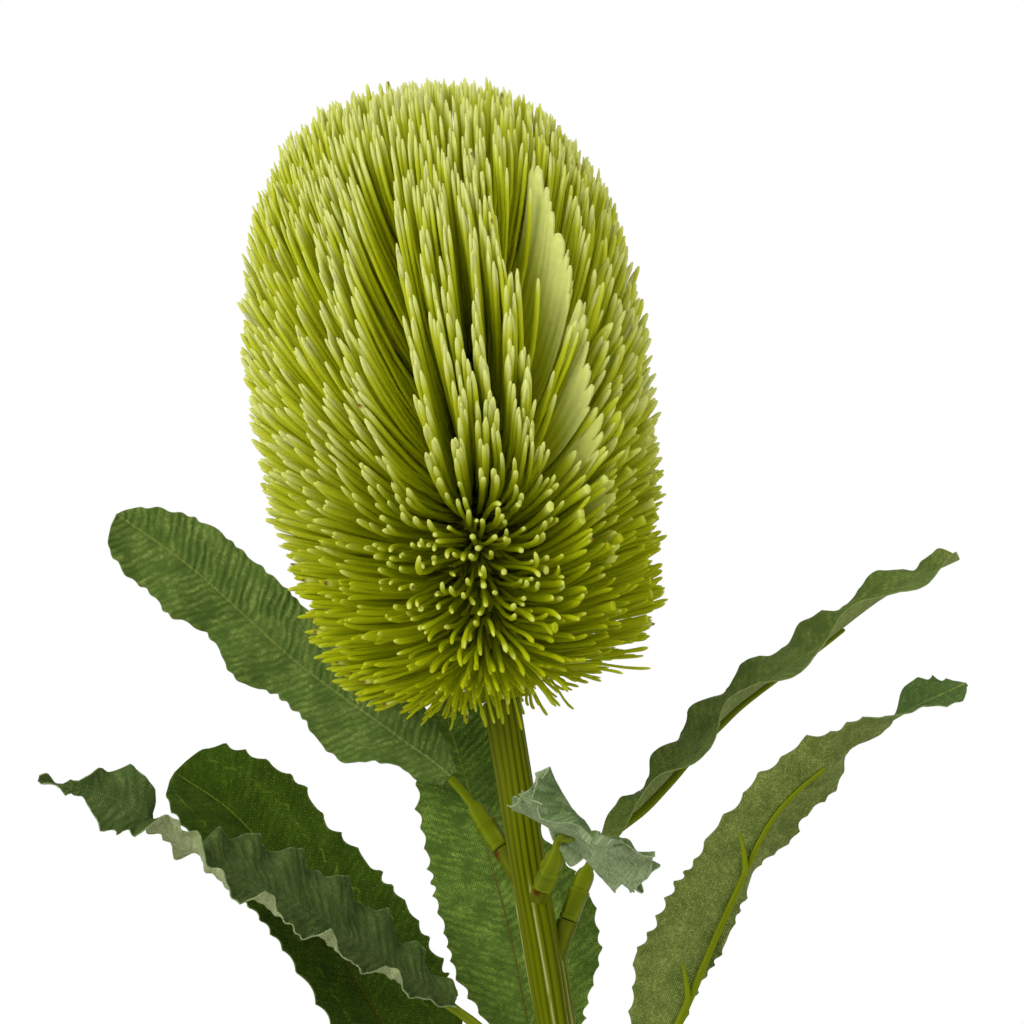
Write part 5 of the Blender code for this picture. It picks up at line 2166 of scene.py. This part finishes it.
    def strokes(self) -> Strokes:
        """Draws every bristle's curve and look.

        Returns:
            The bristles.
        """
        chance = self.chance
        azimuth, run, centred = self.seats()
        radius, height = self.on_profile(run)
        count, degrees = len(run), np.degrees(azimuth)
        side = self.spread(azimuth, height, radius) + chance.normal(0, 1, count) * (0.42 + 1.3 * centred)
        side *= np.clip(radius / 20, 0.15, 1)
        # A few bristles stand alone in the parting, and some at the foot stray far out.
        loner = (chance.uniform(0, 1, count) < 0.2) & (np.abs(degrees - 30) < 8) & (height > 50)
        side = np.where(loner, 0.25 * side, side)
        depth = chance.normal(0, 1.3, count) * (1 - 0.45 * ease(height, 112, 135)) * (1 + 0.8 * centred)
        depth = np.clip(depth - 0.5 + self.drifts[5](azimuth * 5, height / 10), -6.0, 2.3) - 2.5 * loner
        stray = (chance.uniform(0, 1, count) < 0.45) * fall(height, 2, 12)
        depth += stray * chance.uniform(0.2, 1, count) * (3.5 + 9.5 * hill(degrees, 58, 30))
        curl = chance.uniform(0, 60, count) * fall(height, 24, 52) * ease(height, -2, 6)
        points, root = self.curves(height, azimuth, side, depth, curl, radius)
        kind = self.kinds(degrees, height)
        # Scorched tips are rare, but for a patch low on the left.
        scorch_share = 0.012 + 0.26 * hill(degrees, -80, 18) * fall(height, 30, 45)
        scorch = (chance.uniform(0, 1, count) < scorch_share).astype(float)
        # Shafts are finer at the foot, towards the top and low on the sides.
        width = self.shaft_radius * chance.uniform(0.85, 1.22, count) * (1 - 0.10 * fall(height, 38, 62))
        width *= (1 - 0.28 * fall(height, 1, 12)) * (1 - 0.24 * ease(height, 80, 125)) * (1 - 0.2 * stray)
        flank = ease(np.abs(degrees - self.flank_middle), 24, 50)
        width *= 1 - 0.12 * flank * fall(height, 40, 56)
        # The pale tips are shorter at the sides and at the foot.
        fade = (ease(np.abs(degrees - self.front), 22, 50) * fall(height, 24, 62)
                * chance.uniform(1, 7, count))
        fade = np.maximum(fade, fall(height, 8, 24) * chance.uniform(0.5, 8, count))
        fade = np.maximum(fade, flank * chance.uniform(0.3, 3.2, count))
        return Strokes(points, azimuth, root, kind, width, fade * (scorch < 0.5),
                       chance.uniform(0, 1, count), np.clip(height / self.top, 0, 1), scorch)

    @staticmethod
    def placed(shape: Shape, strokes: Strokes, chosen: Array) -> dict[str, Array]:
        """Copies of one pattern bristle along the chosen curves.

        Args:
            shape: The pattern.
            strokes: All the bristles.
            chosen: The indices of the bristles that take this pattern.

        Returns:
            The corners of each copy and their stored values.
        """
        share = shape.corners[:, 2][None, :, None]
        p0, p1, p2, p3 = (points[chosen][:, None, :] for points in strokes.points)
        rest = 1 - share
        place = bezier(share, (p0, p1, p2, p3))
        along = unit(3 * rest ** 2 * (p1 - p0) + 6 * rest * share * (p2 - p1) + 3 * share ** 2 * (p3 - p2))
        turn = strokes.azimuth[chosen]
        around = np.stack([np.cos(turn), np.sin(turn), np.zeros_like(turn)], axis=-1)[:, None, :]
        across = unit(around - (around * along).sum(-1, keepdims=True) * along)
        outward = np.cross(along, across)
        width = strokes.width[chosen][:, None, None] * MM
        x, y = shape.corners[None, :, 0:1], shape.corners[None, :, 1:2]
        places = place + (across * x + outward * y) * width
        tip_mm = (1 - share[..., 0]) * (np.linalg.norm(p3 - p0, axis=-1) / MM) + strokes.fade[chosen][:, None]
        tone, level, scorch = (np.repeat(values[chosen][:, None], share.shape[1], axis=1)
                               for values in (strokes.tone, strokes.level, strokes.scorch))
        angle = np.arctan2(shape.corners[:, 1], shape.corners[:, 0])[None, :]
        grain = np.stack([np.cos(angle) + 31 * tone, np.sin(angle) + 17 * tone, tip_mm / 9.0 + 5 * tone],
                         axis=-1)
        return {"corners": places, "tip_mm": tip_mm, "tone": tone, "grain": grain, "level": level,
                "scorch": scorch}

    def fin(self, azimuth: float, low: float, high: float,
            ragged: float) -> tuple[Array, list[tuple[int, ...]], float]:
        """Bristles of one row that came out of the mould joined as a web.

        Args:
            azimuth: Degrees from the front.
            low: The lowest tip's height, in millimetres above the head's foot.
            high: The highest tip's height.
            ragged: How uneven the outer edge is, in millimetres.

        Returns:
            The corners, the faces and the mean root height.
        """
        count, steps = max(8, round((high - low) * 1.8)), self.fin_steps
        height = np.linspace(low, high, count)
        around = np.full(count, math.radians(azimuth))
        points, root = self.curves(height, around, self.spread(around, height, np.full(count, 46.0)) * 0.6,
                                   np.full(count, -0.5), np.zeros(count), looseness=0.0)
        chance = np.random.default_rng(int(azimuth + low) + 500)
        # The outer edge is split between bristles, and it falls away at both ends.
        lobes = np.abs(np.sin(height / 1.25 + 1.6 * Drift(int(azimuth) + 500)(height / 9))) ** 7
        from_end = np.minimum(np.arange(count), count - 1 - np.arange(count))
        reach = 1 - np.abs(chance.normal(0, 0.005 * ragged, count)) - 0.07 * ragged * lobes
        reach = reach - 0.08 * fall(from_end, 0, 3)
        share = np.linspace(0.25, 1, steps)[None, :] * reach[:, None]
        sheet = bezier(share[..., None], [point[:, None, :] for point in points])
        # The web is thicker along each bristle, and its edge curls from side to side.
        rib = -np.cos(height / 0.625)[:, None]
        normal = unit(np.cross(np.gradient(sheet, axis=0), np.gradient(sheet, axis=1)))
        outwards = np.linspace(0, 1, steps)
        thick = (0.36 + 0.08 * rib + 0.05 * outwards[None, :]) * MM
        curled = 0.5 * MM * ragged * ease(outwards, 0.75, 1.0)[None, :] * np.sin(height / 3.1)[:, None]
        sheet = sheet + normal * curled[..., None]
        corners = np.stack([sheet + normal * thick[..., None], sheet - normal * thick[..., None]])
        a, b = np.arange(2 * count * steps).reshape(2, count, steps)
        faces = []
        for i in range(count - 1):
            for j in range(steps - 1):
                faces.append((a[i, j], a[i + 1, j], a[i + 1, j + 1], a[i, j + 1]))
                faces.append((b[i, j], b[i, j + 1], b[i + 1, j + 1], b[i + 1, j]))
        ring = [(i, 0) for i in range(count)] + [(count - 1, j) for j in range(1, steps)]
        ring += [(i, steps - 1) for i in range(count - 2, -1, -1)] + [(0, j) for j in range(steps - 2, 0, -1)]
        for here, there in zip(ring, ring[1:] + ring[:1]):
            faces.append((a[here], b[here], b[there], a[there]))
        return corners.reshape(-1, 3), [tuple(int(n) for n in face) for face in faces], float(root.mean())

    def hub(self, root: float, radius: float) -> Shape:
        """The ring that one whorl's bristles grow from, around the core.

        Args:
            root: The height of its middle.
            radius: Its outer radius.

        Returns:
            The ring, in its place.
        """
        bore, half = (7.3 if root < self.core_top else 0.5), self.hub_height / 2
        piece = turned("hub", 32, [(bore, half), (radius, half), (radius, -half), (bore, -half)])
        select_only(piece)
        bpy.ops.object.mode_set(mode="EDIT")
        bpy.ops.mesh.select_all(action="DESELECT")
        bpy.ops.object.mode_set(mode="OBJECT")
        for face in piece.data.polygons:
            face.select = len(face.vertices) > 4
        bpy.ops.object.mode_set(mode="EDIT")
        bpy.ops.mesh.select_mode(type="FACE")
        bpy.ops.mesh.bridge_edge_loops()
        bpy.ops.mesh.select_all(action="SELECT")
        bpy.ops.mesh.normals_make_consistent(inside=False)
        bpy.ops.object.mode_set(mode="OBJECT")
        shape = Shape.taken_from(piece)
        shape.corners = carried(shape.corners * MM, AXIS.frame(AXIS.head_z + root * MM))
        return shape

    def fin_values(self, corners: Array, level: float) -> dict[str, Array]:
        """The stored values of a web's corners.

        Args:
            corners: The web's corners.
            level: The web's height as a share of the head's.

        Returns:
            An array under each name.
        """
        inward = 13 * np.linspace(1, 0, self.fin_steps) ** 1.5
        tip_mm = np.tile(inward, len(corners) // self.fin_steps)[None]
        blank = np.zeros_like(tip_mm)
        grain = corners[:, (0, 2, 1)] * np.array([300, 300, 60])
        return {"tip_mm": tip_mm, "tone": blank + 0.7, "scorch": blank, "level": blank + level,
                "grain": grain[None]}

    def build(self, material: Material) -> list[Piece]:
        """Builds the thirteen whorls and the crown.

        Args:
            material: The bristles' finish.

        Returns:
            The pieces, from the foot up.
        """
        shapes, strokes = self.patterns(), self.strokes()
        ring = np.rint((strokes.root - self.whorl_first) / self.whorl_step)
        ring = np.clip(ring, 0, self.whorls - 1).astype(int)
        crown = strokes.root > self.crown_from
        fins = [(*self.fin(azimuth, low, high, ragged), (low + high) / 2 / self.top)
                for azimuth, low, high, ragged in self.fins]
        pieces = []
        for index in range(self.whorls + 1):
            on_top = index == self.whorls
            mine = crown if on_top else (ring == index) & ~crown
            gathered = Gathered()
            for kind, shape in shapes.items():
                chosen = np.flatnonzero(mine & (strokes.kind == kind.value))
                if len(chosen):
                    made = self.placed(shape, strokes, chosen)
                    gathered.add(made.pop("corners"), shape.faces, **made)
            for corners, faces, root, level in fins:
                if index == min(self.whorls - 1, round((root - self.whorl_first) / self.whorl_step)):
                    gathered.add(corners[None], faces, **self.fin_values(corners, level))
            root = self.crown_hub if on_top else self.whorl_first + index * self.whorl_step
            hub = self.hub(root, self.crown_hub_radius if on_top else self.hub_radius)
            blank = np.zeros((1, len(hub.corners)))
            gathered.add(hub.corners[None], hub.faces, tip_mm=blank + 45, tone=blank, level=blank + 0.5,
                         scorch=blank, grain=np.repeat(blank[..., None], 3, axis=2))
            node = "crown_tuft" if on_top else f"bristle_whorl_{index + 1:02d}"
            piece = gathered.piece(f"{node}_bristles")
            piece.data.materials.append(material)
            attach(piece, BODY)
            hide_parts(node)
            pieces.append(piece)
        return pieces


# Studio ---------------------------------------------------------------------------

@dataclass(frozen=True)
class Lamp:
    """A square soft box. Its size is in metres and its power in watts."""

    name: str
    place: Triple
    power: float
    size: float = 0.8


@dataclass
class Studio:
    """A pale floor, soft lamps and the camera.

    Attributes:
        paper: The floor's colour.
        fibre: The colour of the paper's fibres.
        sky: The strength of the light from all round.
        lamps: The soft boxes.
        aim: Where the lamps point.
        eye: Where the camera stands: level with the head's lower half, and far off.
        lens: The camera's focal length in millimetres, behind which the film is 36 wide.
    """

    paper: Colour = colour(236, 236, 234)
    fibre: Colour = colour(228, 228, 226)
    white: Colour = (1, 1, 1, 1)
    sky: float = 0.55
    lamps: tuple[Lamp, ...] = (Lamp("key_lamp", (-0.95, -0.95, 1.1), 11.5),
                               Lamp("fill_lamp", (1.1, -0.8, 0.7), 2.2),
                               Lamp("top_lamp", (0.1, 0.5, 1.5), 1.3))
    aim: Triple = (-0.04, 0, 0.38)
    eye: Triple = (-0.0302, -1.220, 0.3939)
    lens: float = 180.2

    def build(self) -> None:
        """Sets up the floor, the light and the camera."""
        self.floor()
        for lamp in self.lamps:
            self.hang(lamp)
        self.world()
        self.camera()
        bpy.context.scene.view_settings.view_transform = "Standard"

    def floor(self) -> None:
        """Lays a round sheet of pale paper that fades to white away from the vase."""
        clear_selection()
        bpy.ops.mesh.primitive_circle_add(vertices=96, radius=1.6, fill_type="NGON")
        floor = bpy.context.object
        floor.name = "studio_floor"
        made, desk, shader = start_material("studio_paper")
        place = desk.object_place()
        far = desk.add("ShaderNodeVectorMath", operation="LENGTH")
        desk.put(far.inputs[0], place)
        fibres = desk.span(desk.noise(place, 220.0, 3.0), 0.3, 0.7, 0.0, 0.3)
        desk.feed(shader, Base_Color=desk.mix(fibres, self.paper, self.fibre), Roughness=0.9)
        fade = desk.times(desk.span(far.outputs["Value"], 0.25, 0.9, smooth=True), desk.seen_rays())
        desk.end("OUTPUT_MATERIAL", fade, shader, desk.add("ShaderNodeEmission"))
        floor.data.materials.append(made)

    def hang(self, lamp: Lamp) -> None:
        """Hangs a lamp that faces the head.

        Args:
            lamp: The lamp.
        """
        data = bpy.data.lights.new(lamp.name, "AREA")
        data.size, data.energy = lamp.size, lamp.power
        hung = bpy.data.objects.new(lamp.name, data)
        hung.location = lamp.place
        hung.rotation_euler = (Vector(self.aim) - Vector(lamp.place)).to_track_quat("-Z", "Y").to_euler()
        bpy.context.scene.collection.objects.link(hung)

    def world(self) -> None:
        """Lights softly from all round, and shows white."""
        world = bpy.data.worlds.new("studio_white")
        world.use_nodes = True
        bpy.context.scene.world = world
        desk = NodeDesk(world.node_tree)
        light = desk.feed(world.node_tree.nodes["Background"], Color=self.white, Strength=self.sky)
        shown = desk.feed(desk.add("ShaderNodeBackground"), Color=self.white, Strength=1.0)
        desk.end("OUTPUT_WORLD", desk.seen_rays(), light, shown)

    def camera(self) -> None:
        """Stands the camera level, with a long lens."""
        data = bpy.data.cameras.new("studio_camera")
        data.sensor_width, data.lens = 36.0, self.lens
        data.clip_start, data.clip_end = 0.1, 20.0
        camera = bpy.data.objects.new("studio_camera", data)
        camera.location = self.eye
        camera.rotation_euler = (math.pi / 2, 0, 0)
        bpy.context.scene.collection.objects.link(camera)
        bpy.context.scene.camera = camera


# The whole spray ------------------------------------------------------------------

def dress_frame_node(node: str, material: Material) -> None:
    """Gives a CAD node that stays a better material.

    Args:
        node: The node's name.
        material: The material.
    """
    piece = frame["nodes"][node]
    for slot in piece.material_slots:
        slot.material = material


def report(piece: Piece) -> None:
    """Logs one finished piece."""
    LOG.info("%s: %d faces", piece.name, len(piece.data.polygons))


def main() -> None:
    """Builds the vase, the stem, the leaves and the head, and then the studio."""
    logging.basicConfig(level=logging.INFO, format="%(message)s")
    report(Vase().build())
    spray = leaves()
    stem_finish = RodFinish("stem_plastic_finish", colour(109, 118, 0), colour(68, 74, 0),
                            colour(206, 208, 140), colour(90, 40, 12))
    report(Stem(spray).build(stem_finish.material()))
    spine_plastic = RodFinish("spine_plastic_finish", colour(136, 152, 12), colour(90, 102, 2),
                              colour(206, 212, 150), colour(120, 60, 30)).material()
    for leaf in spray:
        report(leaf.spine(spine_plastic))
        report(leaf.blade([leaf.finish.material(face) for face in ClothFace]))
    for piece in BristleHead().build(BristleFinish().material()):
        report(piece)
    dress_frame_node("stem_wire", WireFinish().material())
    dress_frame_node("head_core", CoreFinish().material())
    Studio().build()


if __name__ == "__main__":
    main()
